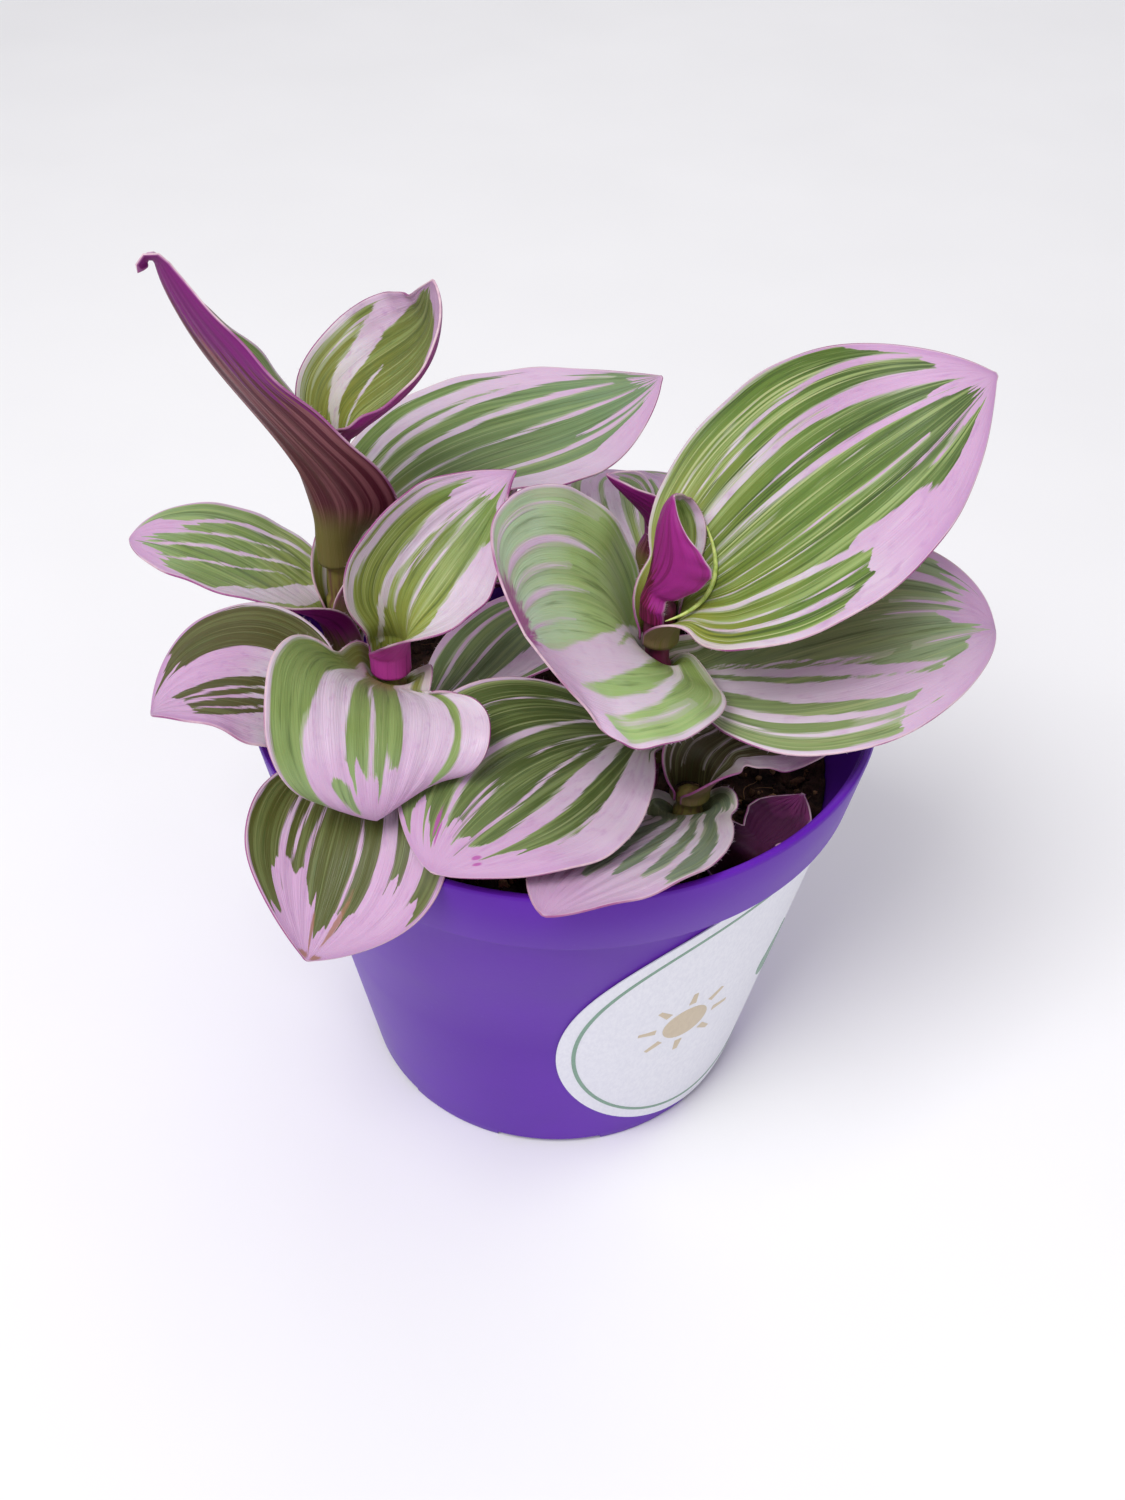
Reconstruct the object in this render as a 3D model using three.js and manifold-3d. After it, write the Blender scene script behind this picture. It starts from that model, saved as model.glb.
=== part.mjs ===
// A striped tradescantia in a round nursery pot: pot, label, soil, stems and every leaf as its own solid.
// Millimetres, +Z up. The origin is the middle of the pot's base, on the surface that the pot stands on.
// The side that faces -Y is the front. Headings are in degrees from +X towards +Y.

import * as THREE from 'three';
import { mergeVertices } from 'three/addons/utils/BufferGeometryUtils.js';
import Module from 'manifold-3d';

const wasm = await Module();
wasm.setup();

// Pot
const POT_HEIGHT = 84;
const RIM_RADIUS = 52.5;
const FOOT_RADIUS = 35.75;
const BAND_HEIGHT = 13.3;
const BAND_FOOT_RADIUS = 50.25;
const WALL_TOP_RADIUS = 48.2;
const WALL = 1.3;
const FLOOR = 1.5;
const DISC_RADIUS = 14;
const CHANNEL_RISE = 2.4;
const FOOT_RING = 4.2;
const DRAIN_COUNT = 8;
const DRAIN_RADIUS = 3.8;
const NOTCH_COUNT = 6;
const NOTCH_WIDTH = 19;
const NOTCH_HEIGHT = 1.3;
const ROUND_SIDES = 48;

// Label
const LABEL_RADIUS = 34.5;
const LABEL_HEADING = -42;
const LABEL_HEIGHT = 36.3;
const LABEL_GAP = 0.3;
const LABEL_THICKNESS = 0.4;

// Soil
const CLEARANCE = 0.3;
const SOIL_TOP = 67.4;
const SOIL_EDGE = 66.4;
const SOIL_RELIEF = 1.5;
const SOIL_SIDES = 40;
const SOIL_RINGS = 7;

// Stems
const STEM_RADIUS = 2.1;
const STEM_FOOT = 58;
const STEM_SIDES = 12;

// Leaves
const BLADE_THICKNESS = 0.7;
const SHEATH_RADIUS = 3;
const SHEATH_LENGTH = 4;
const SHEATH_WRAP = 168;
const TIP_HALF_WIDTH = 0.35;
const OPENING_ROWS = 4;
const BLADE_ROWS = 7;
const HALF_COLUMNS = 4;
const STEPS = 240;

const finish = (color, roughness) => new THREE.MeshStandardMaterial({ color, roughness, metalness: 0 });
const POT_VIOLET = finish(0x5a35b0, 0.45);
const LABEL_WHITE = finish(0xeeeef2, 0.6);
const PEAT = finish(0x2a211b, 0.95);
const STEM_OLIVE = finish(0x6d6a3a, 0.55);
const LEAF_GREEN = finish(0x7f9a5e, 0.5);

// Each shoot stands upright in the soil at x, y and ends at top.
const SHOOTS = {
  left: { x: -38.5, y: 10, top: 113.6 },
  middle: { x: -27.5, y: -13, top: 95.1 },
  front: { x: -35.5, y: -20, top: 82.2 },
  right: { x: 14.5, y: -8, top: 105.6 },
  low: { x: 20.5, y: -22.5, top: 79.2 },
  corner: { x: 28, y: -31.5, top: 68.6 },
  back: { x: 15, y: 25, top: 88.2 },
  rear: { x: -18, y: 32, top: 81.7 },
};

// foot is the height of the sheath's foot on its shoot. heading, rise and roll give the midrib's
// direction, its slope and the blade's turn about it, and cupLeft and cupRight how far each half curls
// up, all in degrees at the base, the middle and the tip. widest, open and lobe are explained where they
// are used.
const LEAVES = [
  {
    name: 'leaf_left_folded', shoot: 'left', foot: 98.1, length: 58.4, width: 33.9, widest: 0.33, open: 0.2,
    heading: [222, 197, 194], rise: [94, 59, 86], roll: [20, 11, 23],
    cupLeft: [34, 34, 44], cupRight: [74, 27, 37], keel: 10, blunt: 0.78,
  },
  {
    name: 'leaf_left_upright', shoot: 'left', foot: 112.4, length: 37.8, width: 30.7, widest: 0.42, open: 0.42,
    heading: [16, -17, -8], rise: [72, 45, 121], roll: [26, 24, 40],
    cupLeft: [76, 51, 24], cupRight: [75, 55, 17], blunt: 0.74,
  },
  {
    name: 'leaf_left_long', shoot: 'left', foot: 86.5, length: 71.7, width: 37.2, widest: 0.51, open: 0.22,
    heading: [55, 33, 22], rise: [63, 3, 37], roll: [1, 3, 21],
    cupLeft: [54, 21, 22], cupRight: [63, 27, 8], blunt: 0.86,
  },
  {
    name: 'leaf_left_side', shoot: 'left', foot: 77.4, length: 40.8, width: 31.9, widest: 0.4, open: 0.36,
    heading: [173, 170, 169], rise: [31, 26, -24], roll: [15, 10, -13],
    cupLeft: [65, 20, 17], cupRight: [48, 10, 23], blunt: 0.75,
  },
  {
    name: 'leaf_middle_cupped', shoot: 'middle', foot: 93.9, length: 34.6, width: 24.7, widest: 0.39, open: 0.49,
    heading: [3, 39, 5], rise: [118, 39, 58], roll: [5, 38, 3],
    cupLeft: [87, 64, 33], cupRight: [102, 54, 36], blunt: 0.81,
  },
  {
    name: 'leaf_middle_heart', shoot: 'middle', foot: 87.6, length: 40.7, width: 33.7, widest: 0.53, open: 0.15,
    heading: [-96, -84, -98], rise: [29, 11, -117], roll: [-11, -24, -16],
    cupLeft: [21, 32, -59], cupRight: [60, 18, -50], blunt: 0.59, lobe: -10.2,
  },
  {
    name: 'leaf_middle_back', shoot: 'middle', foot: 77.5, length: 41.9, width: 27.7, widest: 0.48, open: 0.2,
    heading: [-8, 61, 29], rise: [26, 1, -3], roll: [-30, -17, 28],
    cupLeft: [42, 2, 30], cupRight: [55, 14, 14], blunt: 0.77,
  },
  {
    name: 'leaf_front_side', shoot: 'front', foot: 81, length: 32.6, width: 30.6, widest: 0.46, open: 0.23,
    heading: [164, 190, 199], rise: [65, 15, -52], roll: [-6, -4, 9],
    cupLeft: [40, 12, 30], cupRight: [47, 17, 25], blunt: 0.78,
  },
  {
    name: 'leaf_front_drooping', shoot: 'front', foot: 70.8, length: 48.8, width: 30.6, widest: 0.64, open: 0.22,
    heading: [-53, -91, -117], rise: [98, -8, -36], roll: [2, -1, -42],
    cupLeft: [39, 27, -4], cupRight: [23, 39, 21], blunt: 0.82,
  },
  {
    name: 'leaf_right_large', shoot: 'right', foot: 97.8, length: 60.6, width: 49.6, widest: 0.43, open: 0.13,
    heading: [15, 6, 32], rise: [38, 45, 11], roll: [15, 15, 36],
    cupLeft: [40, 14, 15], cupRight: [45, 8, -6], blunt: 0.91, lobe: 6,
  },
  {
    name: 'leaf_right_arched', shoot: 'right', foot: 89.2, length: 41.6, width: 44.2, widest: 0.5, open: 0.19,
    heading: [-114, -141, -90], rise: [60, 36, 18], roll: [-6, -31, -56],
    cupLeft: [42, 17, 4], cupRight: [98, 21, 12], blunt: 0.51, lobe: 6.1,
  },
  {
    name: 'leaf_right_side', shoot: 'right', foot: 82.4, length: 56.5, width: 39.8, widest: 0.45, open: 0.15,
    heading: [0, -5, 35], rise: [2, 26, -37], roll: [-3, 18, 36],
    cupLeft: [37, 22, 39], cupRight: [28, 5, 18], blunt: 0.79,
  },
  {
    name: 'leaf_right_front', shoot: 'right', foot: 73.6, length: 56.5, width: 36.2, widest: 0.61, open: 0.1,
    heading: [-122, -127, -119], rise: [30, 15, -16], roll: [-7, -14, 2],
    cupLeft: [53, 23, -15], cupRight: [76, 29, -21], blunt: 0.69,
  },
  {
    name: 'leaf_right_rolled', shoot: 'right', foot: 104.4, length: 15.9, width: 24.1, widest: 0.49, open: 0.3,
    heading: [145, 182, 176], rise: [110, 94, 120], roll: [-8, 0, -4],
    cupLeft: [111, 89, 42], cupRight: [121, 95, 41], blunt: 0.73, sheath: 3, wrap: 140,
  },
  {
    name: 'leaf_low_shaded', shoot: 'low', foot: 78, length: 30, width: 18, widest: 0.48, open: 0.18,
    heading: [44, 10, -10], rise: [30, 6, -8], roll: [6, 17, -5],
    cupLeft: [60, 22, 20], cupRight: [50, -5, 25], blunt: 0.8,
  },
  {
    name: 'leaf_low_on_rim', shoot: 'low', foot: 71, length: 43, width: 24, widest: 0.52, open: 0.12,
    heading: [-98, -131, -118], rise: [30, 17, -3], roll: [14, 15, 3],
    cupLeft: [20, 0, 20], cupRight: [10, -8, 20], blunt: 0.62, lobe: 3,
  },
  {
    name: 'leaf_corner_dark', shoot: 'corner', foot: 67.4, length: 14, width: 9.5, widest: 0.53, open: 0.16,
    heading: [48, 50, 60], rise: [12, 6, 6], roll: [0, 0, 0],
    cupLeft: [45, 28, 25], cupRight: [45, 30, 21], blunt: 0.74,
  },
  {
    name: 'leaf_back_outer', shoot: 'back', foot: 79.9, length: 35.1, width: 26, widest: 0.5, open: 0.22,
    heading: [111, 95, 90], rise: [49, -2, -24], roll: [0, 0, 0],
    cupLeft: [45, 20, 15], cupRight: [45, 20, 15], blunt: 0.8,
  },
  {
    name: 'leaf_back_young', shoot: 'back', foot: 87, length: 23, width: 14, widest: 0.44, open: 0.3,
    heading: [233, 214, 194], rise: [116, 57, 55], roll: [16, -1, 5],
    cupLeft: [90, 60, 42], cupRight: [90, 60, 40], keel: 16, blunt: 0.8,
  },
  {
    name: 'leaf_back_side', shoot: 'back', foot: 72.9, length: 46.4, width: 30, widest: 0.5, open: 0.22,
    heading: [4, 14, 15], rise: [50, 6, -23], roll: [0, 0, 0],
    cupLeft: [45, 20, 15], cupRight: [45, 20, 15], blunt: 0.8,
  },
  {
    name: 'leaf_rear_outer', shoot: 'rear', foot: 80.5, length: 32.1, width: 29.4, widest: 0.5, open: 0.23,
    heading: [118, 111, 104], rise: [85, 10, -72], roll: [0, 6, 2],
    cupLeft: [45, 18, 16], cupRight: [45, 20, 15], blunt: 0.8,
  },
  {
    name: 'leaf_rear_side', shoot: 'rear', foot: 72.1, length: 25, width: 23.4, widest: 0.51, open: 0.19,
    heading: [7, 39, 121], rise: [30, 16, 33], roll: [-41, -3, -41],
    cupLeft: [45, 20, 15], cupRight: [44, 21, 26], blunt: 0.79,
  },
];

const radians = (degrees) => degrees * Math.PI / 180;
const mix = (from, to, share) => from + (to - from) * share;
const polar = (radius, angle, z) => new THREE.Vector3(radius * Math.cos(angle), radius * Math.sin(angle), z);

// A smooth step from 0 to 1.
function ease(x) {
  const u = Math.min(Math.max(x, 0), 1);
  return u * u * (3 - 2 * u);
}

// The parabola that takes three values at the base, the middle and the tip.
function along([base, middle, tip], t) {
  return base * (1 - t) * (1 - 2 * t) + 4 * middle * t * (1 - t) + tip * t * (2 * t - 1);
}

// Solids for cutting and joining

function toSolid(geometry) {
  const bare = geometry.clone();
  bare.deleteAttribute('normal');
  bare.deleteAttribute('uv');
  const merged = mergeVertices(bare, 1e-4);
  return new wasm.Manifold(new wasm.Mesh({
    numProp: 3,
    vertProperties: new Float32Array(merged.attributes.position.array),
    triVerts: new Uint32Array(merged.index.array),
  }));
}

function toGeometry(solid) {
  const mesh = solid.getMesh();
  const geometry = new THREE.BufferGeometry();
  geometry.setAttribute('position', new THREE.BufferAttribute(mesh.vertProperties, 3));
  geometry.setIndex(new THREE.BufferAttribute(mesh.triVerts, 1));
  geometry.computeVertexNormals();
  return geometry;
}

// A turned body about Z from a profile of [radius, height] points.
function turned(profile, sides) {
  const points = profile.map(([radius, height]) => new THREE.Vector2(radius, height));
  return new THREE.LatheGeometry(points, sides).rotateX(Math.PI / 2);
}

function uprightCylinder(radius, bottom, top, x, y, sides) {
  const cylinder = new THREE.CylinderGeometry(radius, radius, top - bottom, sides).rotateX(Math.PI / 2);
  return cylinder.translate(x, y, (bottom + top) / 2);
}

// Pot: a foot ring with notches, a raised channel with drain holes round a flat disc, a tapered wall
// and a deep rim band with a rounded lip.

const wallTop = POT_HEIGHT - BAND_HEIGHT;
const wallRadius = (z) => mix(FOOT_RADIUS, WALL_TOP_RADIUS, z / wallTop);

function potGeometry() {
  const channelOuter = FOOT_RADIUS - FOOT_RING;
  const innerFloor = CHANNEL_RISE + FLOOR;
  const profile = [
    [0, 0],
    [DISC_RADIUS, 0],
    [DISC_RADIUS + 1, CHANNEL_RISE],
    [channelOuter - 0.6, CHANNEL_RISE],
    [channelOuter, 0],
    [FOOT_RADIUS - 0.5, 0],
    [wallRadius(0.6), 0.6],
    [WALL_TOP_RADIUS, wallTop],
    [BAND_FOOT_RADIUS, wallTop + 0.3],
    [RIM_RADIUS - 0.1, POT_HEIGHT - 0.7],
    [RIM_RADIUS - 0.5, POT_HEIGHT],
    [RIM_RADIUS - WALL, POT_HEIGHT],
    [RIM_RADIUS - WALL - 0.4, POT_HEIGHT - 0.7],
    [BAND_FOOT_RADIUS - WALL, wallTop + 1.8],
    [WALL_TOP_RADIUS - WALL, wallTop - 0.6],
    [wallRadius(innerFloor) - WALL, innerFloor],
    [DISC_RADIUS - 0.6, innerFloor],
    [DISC_RADIUS - 1.4, FLOOR],
    [0, FLOOR],
  ];
  let pot = toSolid(turned(profile, ROUND_SIDES));
  const drainCircle = (DISC_RADIUS + channelOuter) / 2;
  for (let i = 0; i < DRAIN_COUNT; i += 1) {
    const centre = polar(drainCircle, (i + 0.5) * 2 * Math.PI / DRAIN_COUNT, 0);
    pot = pot.subtract(toSolid(uprightCylinder(DRAIN_RADIUS, -1, innerFloor + 1, centre.x, centre.y, 12)));
  }
  for (let i = 0; i < NOTCH_COUNT; i += 1) {
    const notch = new THREE.BoxGeometry(2 * FOOT_RING + 3, NOTCH_WIDTH, 2 * NOTCH_HEIGHT);
    notch.translate(FOOT_RADIUS, 0, 0);
    notch.rotateZ(-Math.PI / 2 + i * 2 * Math.PI / NOTCH_COUNT);
    pot = pot.subtract(toSolid(notch));
  }
  return toGeometry(pot);
}

// Label: a thin disc bent round the tapered wall. The wall is unrolled into a flat sector, where the
// label is a true circle.

function labelGeometry() {
  const taper = Math.atan((WALL_TOP_RADIUS - FOOT_RADIUS) / wallTop);
  const turn = Math.sin(taper);
  const rings = 5;
  const sides = 40;
  const centre = wallRadius(LABEL_HEIGHT) / turn;
  const point = (ring, side, lift) => {
    const radius = LABEL_RADIUS * ring / rings;
    const angle = side * 2 * Math.PI / sides;
    const across = radius * Math.cos(angle);
    const reach = centre + radius * Math.sin(angle);
    const slant = Math.hypot(across, reach);
    const heading = radians(LABEL_HEADING) + Math.atan2(across, reach) / turn;
    const height = (slant * turn - FOOT_RADIUS) / Math.tan(taper);
    return polar(slant * turn + lift * Math.cos(taper), heading, height - lift * Math.sin(taper));
  };
  const positions = [];
  const index = [];
  const facetRise = wallRadius(LABEL_HEIGHT) * (1 - Math.cos(Math.PI / ROUND_SIDES));
  for (const lift of [LABEL_GAP, LABEL_GAP + LABEL_THICKNESS + facetRise]) {
    positions.push(...point(0, 0, lift).toArray());
    for (let ring = 1; ring <= rings; ring += 1) {
      for (let side = 0; side < sides; side += 1) {
        positions.push(...point(ring, side, lift).toArray());
      }
    }
  }
  const face = 1 + rings * sides;
  const at = (ring, side) => (ring === 0 ? 0 : 1 + (ring - 1) * sides + side % sides);
  for (let ring = 0; ring < rings; ring += 1) {
    for (let side = 0; side < sides; side += 1) {
      const [a, b] = [at(ring, side), at(ring + 1, side)];
      const [c, d] = [at(ring + 1, side + 1), at(ring, side + 1)];
      index.push(b + face, c + face, a + face, c, b, a);
      if (ring > 0) {
        index.push(c + face, d + face, a + face, d, c, a);
      }
    }
  }
  for (let side = 0; side < sides; side += 1) {
    const [a, b] = [at(rings, side), at(rings, side + 1)];
    index.push(a, b, b + face, a, b + face, a + face);
  }
  const geometry = new THREE.BufferGeometry();
  geometry.setAttribute('position', new THREE.Float32BufferAttribute(positions, 3));
  geometry.setIndex(index);
  geometry.computeVertexNormals();
  return geometry;
}

// Soil: fills the pot, with an uneven top and a plain hole for each stem.

function soilDip(x, y) {
  const waves = Math.sin(0.31 * x + 1.3) * Math.cos(0.27 * y) + Math.sin(0.53 * y - 0.2 * x);
  return SOIL_RELIEF * (2 + waves) / 4;
}

function soilGeometry() {
  const bottom = CHANNEL_RISE + FLOOR + CLEARANCE;
  const edgeRadius = wallRadius(SOIL_EDGE) - WALL - CLEARANCE;
  const profile = [[0, bottom], [wallRadius(bottom) - WALL - CLEARANCE, bottom]];
  for (let ring = SOIL_RINGS; ring >= 0; ring -= 1) {
    const share = ring / SOIL_RINGS;
    profile.push([edgeRadius * share, mix(SOIL_TOP, SOIL_EDGE, share ** 2)]);
  }
  const soil = turned(profile, SOIL_SIDES);
  const position = soil.attributes.position;
  for (let i = 0; i < position.count; i += 1) {
    if (position.getZ(i) > SOIL_EDGE + 0.01) {
      position.setZ(i, position.getZ(i) - soilDip(position.getX(i), position.getY(i)));
    }
  }
  let solid = toSolid(soil);
  for (const { x, y } of Object.values(SHOOTS)) {
    const hole = uprightCylinder(STEM_RADIUS + CLEARANCE, STEM_FOOT - CLEARANCE, SOIL_TOP + 1, x, y, STEM_SIDES);
    solid = solid.subtract(toSolid(hole));
  }
  return toGeometry(solid);
}

// Stems: upright, with a blunt rounded end inside the youngest leaf.

function stemGeometry({ x, y, top }) {
  const profile = [
    [0, STEM_FOOT],
    [STEM_RADIUS, STEM_FOOT],
    [STEM_RADIUS, top - 1.6],
    [STEM_RADIUS * 0.7, top - 0.5],
    [0, top],
  ];
  return turned(profile, STEM_SIDES).translate(x, y, 0);
}

// Leaves

// Half the blade's width at t, from 0 at the sheath's mouth to 1 at the tip. widest is where it is
// widest, and a smaller blunt makes a rounder outline.
function halfWidth(leaf, t, sheathHalf) {
  const { width, widest, blunt = 0.8 } = leaf;
  const bow = t > 0 && t < 1 ? Math.sin(Math.PI * t ** (Math.log(0.5) / Math.log(widest))) ** blunt : 0;
  const blade = width / 2 * bow;
  if (t >= 0.5) {
    return Math.max(blade, TIP_HALF_WIDTH);
  }
  const spread = ease(t / 0.2);
  return Math.cbrt(sheathHalf ** 3 * (1 - spread) + blade ** 3 * spread);
}

// The midrib leaves the stem upright and bends over to its own heading and slope.
function midribFrame(leaf, s) {
  const { sheath = SHEATH_LENGTH } = leaf;
  const t = Math.min(Math.max((s - sheath) / leaf.length, 0), 1);
  const opening = 0.7 * leaf.open * leaf.length;
  const bend = ease((s - 0.6 * sheath) / (0.4 * sheath + opening));
  const opened = ease((s - 0.25 * sheath) / (0.75 * sheath + opening));
  const heading = radians(along(leaf.heading, t));
  const rise = radians(along(leaf.rise, t));
  const roll = radians(along(leaf.roll, t));
  const blade = polar(Math.cos(rise), heading, Math.sin(rise));
  const level = polar(1, heading + Math.PI / 2, 0);
  const face = new THREE.Vector3().crossVectors(blade, level);
  const side = level.multiplyScalar(Math.cos(roll)).addScaledVector(face, Math.sin(roll));
  const forward = new THREE.Vector3(0, 0, 1).lerp(blade, bend).normalize();
  side.addScaledVector(forward, -side.dot(forward)).normalize();
  return { t, opened, forward, side, up: new THREE.Vector3().crossVectors(forward, side) };
}

// The points of one cross-section, from the right margin to the left. Each half is an arc that wraps
// the stem at the sheath and opens to its cup by the share open of the blade. lobe draws the halves
// back beside the base, as in a heart-shaped leaf.
function crossSection(leaf, frame, middle) {
  const { t, opened, forward, side, up } = frame;
  const { wrap = SHEATH_WRAP, keel = 0, lobe = 0 } = leaf;
  const half = halfWidth(leaf, t, radians(wrap) * SHEATH_RADIUS);
  const drawnBack = ease(t / 0.15) * (1 - t) ** 2 * lobe;
  const pieces = 4;
  const step = half / (HALF_COLUMNS * pieces);
  const halves = [leaf.cupRight, leaf.cupLeft].map((cup, index) => {
    const sign = index === 0 ? -1 : 1;
    const curl = radians(mix(wrap, along(cup, t), opened));
    const points = [middle.clone()];
    let [out, lift] = [0, 0];
    for (let i = 0; i < HALF_COLUMNS * pieces; i += 1) {
      const share = (i + 0.5) / (HALF_COLUMNS * pieces);
      const angle = radians(keel) * opened + curl * share;
      out += Math.cos(angle) * step;
      lift += Math.sin(angle) * step;
      if (i % pieces === pieces - 1) {
        const reach = (i + 1) / (HALF_COLUMNS * pieces);
        const point = middle.clone().addScaledVector(side, sign * out).addScaledVector(up, lift);
        points.push(point.addScaledVector(forward, -drawnBack * reach ** 2));
      }
    }
    return points;
  });
  return [...halves[0].reverse(), ...halves[1].slice(1)];
}

// The middle surface of a leaf as rows of points, from the sheath's foot to the tip.
function leafRows(leaf) {
  const { x, y } = SHOOTS[leaf.shoot];
  const { sheath = SHEATH_LENGTH, length, open, foot } = leaf;
  const total = sheath + length;
  const stops = [0, sheath];
  for (let i = 1; i <= OPENING_ROWS; i += 1) {
    stops.push(sheath + open * length * i / OPENING_ROWS);
  }
  for (let i = 1; i <= BLADE_ROWS; i += 1) {
    stops.push(sheath + length * mix(open, 1, i / BLADE_ROWS));
  }
  const start = midribFrame(leaf, 0);
  const middle = new THREE.Vector3(x, y, foot).addScaledVector(start.up, -SHEATH_RADIUS);
  const rows = [];
  let frame = start;
  for (let i = 0; i <= STEPS; i += 1) {
    const s = total * i / STEPS;
    if (i > 0) {
      const next = midribFrame(leaf, s);
      middle.addScaledVector(frame.forward, total / STEPS / 2);
      middle.addScaledVector(next.forward, total / STEPS / 2);
      frame = next;
    }
    if (stops.length > 0 && s >= stops[0] - total / STEPS / 2) {
      rows.push(crossSection(leaf, frame, middle));
      stops.shift();
    }
  }
  return rows;
}

// A closed thin solid: the rows are offset to both sides along their normals, split into triangles
// alike on both faces, and joined round the edge.
function leafGeometry(leaf) {
  const rows = leafRows(leaf);
  const columns = rows[0].length;
  const last = rows.length - 1;
  const normalAt = (i, j) => {
    const lengthwise = rows[Math.min(i + 1, last)][j].clone().sub(rows[Math.max(i - 1, 0)][j]);
    const left = Math.min(j + 1, columns - 1);
    const crosswise = rows[i][left].clone().sub(rows[i][Math.max(j - 1, 0)]);
    return lengthwise.cross(crosswise).normalize();
  };
  const positions = [];
  for (const offset of [BLADE_THICKNESS / 2, -BLADE_THICKNESS / 2]) {
    rows.forEach((row, i) => row.forEach((point, j) => {
      positions.push(...point.clone().addScaledVector(normalAt(i, j), offset).toArray());
    }));
  }
  const face = rows.length * columns;
  const at = (i, j) => i * columns + j;
  const index = [];
  for (let i = 0; i < last; i += 1) {
    for (let j = 0; j < columns - 1; j += 1) {
      const [a, b, c, d] = [at(i, j), at(i + 1, j), at(i + 1, j + 1), at(i, j + 1)];
      index.push(a, b, c, a, c, d);
      index.push(c + face, b + face, a + face, d + face, c + face, a + face);
    }
  }
  const edge = [];
  for (let j = 0; j < columns - 1; j += 1) {
    edge.push([at(0, j), at(0, j + 1)], [at(last, j + 1), at(last, j)]);
  }
  for (let i = 0; i < last; i += 1) {
    edge.push([at(i + 1, 0), at(i, 0)], [at(i, columns - 1), at(i + 1, columns - 1)]);
  }
  for (const [a, b] of edge) {
    index.push(a, b, b + face, a, b + face, a + face);
  }
  const geometry = new THREE.BufferGeometry();
  geometry.setAttribute('position', new THREE.Float32BufferAttribute(positions, 3));
  geometry.setIndex(index);
  geometry.computeVertexNormals();
  return geometry;
}

function named(name, geometry, material) {
  const mesh = new THREE.Mesh(geometry, material);
  mesh.name = name;
  return mesh;
}

const plant = new THREE.Group();
for (const [shoot, place] of Object.entries(SHOOTS)) {
  plant.add(named(`stem_${shoot}`, stemGeometry(place), STEM_OLIVE.clone()));
}
for (const leaf of LEAVES) {
  plant.add(named(leaf.name, leafGeometry(leaf), LEAF_GREEN.clone()));
}

const pottedPlant = new THREE.Group();
pottedPlant.add(named('pot', potGeometry(), POT_VIOLET));
pottedPlant.add(named('label', labelGeometry(), LABEL_WHITE));
pottedPlant.add(named('soil', soilGeometry(), PEAT));
pottedPlant.add(plant);

export default pottedPlant;
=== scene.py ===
"""The looks of a striped tradescantia in its nursery pot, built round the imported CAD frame.

Lengths are in millimetres, in the frame of the CAD model, until a mesh is made, which is in metres.
A leaf's own coordinates are u, from 0 at its right margin to 1 at its left margin, and v, from 0 at the
mouth of its sheath to 1 at its tip.
"""

import math

import bpy
import numpy as np
from mathutils import Matrix
from mathutils.kdtree import KDTree

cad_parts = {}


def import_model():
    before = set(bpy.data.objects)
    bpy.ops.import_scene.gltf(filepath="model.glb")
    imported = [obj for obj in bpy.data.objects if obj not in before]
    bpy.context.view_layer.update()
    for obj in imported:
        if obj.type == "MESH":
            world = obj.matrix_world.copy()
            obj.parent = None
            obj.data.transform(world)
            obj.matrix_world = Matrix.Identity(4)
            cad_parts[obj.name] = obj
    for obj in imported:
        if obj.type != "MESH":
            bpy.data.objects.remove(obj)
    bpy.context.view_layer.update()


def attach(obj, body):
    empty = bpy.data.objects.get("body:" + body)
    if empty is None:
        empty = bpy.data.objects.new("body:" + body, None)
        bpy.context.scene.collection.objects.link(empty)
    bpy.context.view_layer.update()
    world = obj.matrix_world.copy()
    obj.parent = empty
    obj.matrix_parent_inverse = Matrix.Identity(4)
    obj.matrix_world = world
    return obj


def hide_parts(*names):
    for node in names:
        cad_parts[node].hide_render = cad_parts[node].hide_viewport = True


MM = 0.001
UP = np.array([0.0, 0.0, 1.0])
TURN = 2 * math.pi

# Pot, as in the CAD model. The two rooms are how far the cutters reach past what they cut.
POT_HEIGHT = 84.0
RIM_RADIUS = 52.5
FOOT_RADIUS = 35.75
BAND_HEIGHT = 13.3
BAND_FOOT_RADIUS = 50.25
WALL_TOP_RADIUS = 48.2
WALL_TOP = POT_HEIGHT - BAND_HEIGHT
WALL = 1.3
FLOOR = 1.5
DISC_RADIUS = 14.0
CHANNEL_RISE = 2.4
FOOT_RING = 4.2
DRAIN_COUNT = 8
DRAIN_RADIUS = 3.8
DRAIN_SIDES = 24
NOTCH_COUNT = 6
NOTCH_WIDTH = 19.0
NOTCH_HEIGHT = 1.3
CUT_ROOM = 1.0
NOTCH_ROOM = 1.5
POT_SIDES = 160
POT_CREASE = math.radians(38)

# Label
LABEL_RADIUS = 34.5
LABEL_HEADING = -42.0
LABEL_HEIGHT = 36.3
LABEL_LIFT = 0.12
LABEL_THICKNESS = 0.22
LABEL_SIDES = 144
LABEL_RINGS = 16
LABEL_CREASE = math.radians(40)
PRINT_THICKNESS = 0.05
PRINT_DEPTH = 0.02
PRINT_RING = (31.2, 31.9)
SUN_PLACE = (-12.0, 1.0)
SUN_RADIUS = 4.4
SUN_SIDES = 32
SUN_RAYS = 8
RAY_REACH = (5.8, 9.0)
RAY_HALF_WIDTH = 0.7
RAY_TAPER = 0.6
DROP_PLACE = (12.0, 0.0)
DROP_RADIUS = 5.2
DROP_SIDES = 36

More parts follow.
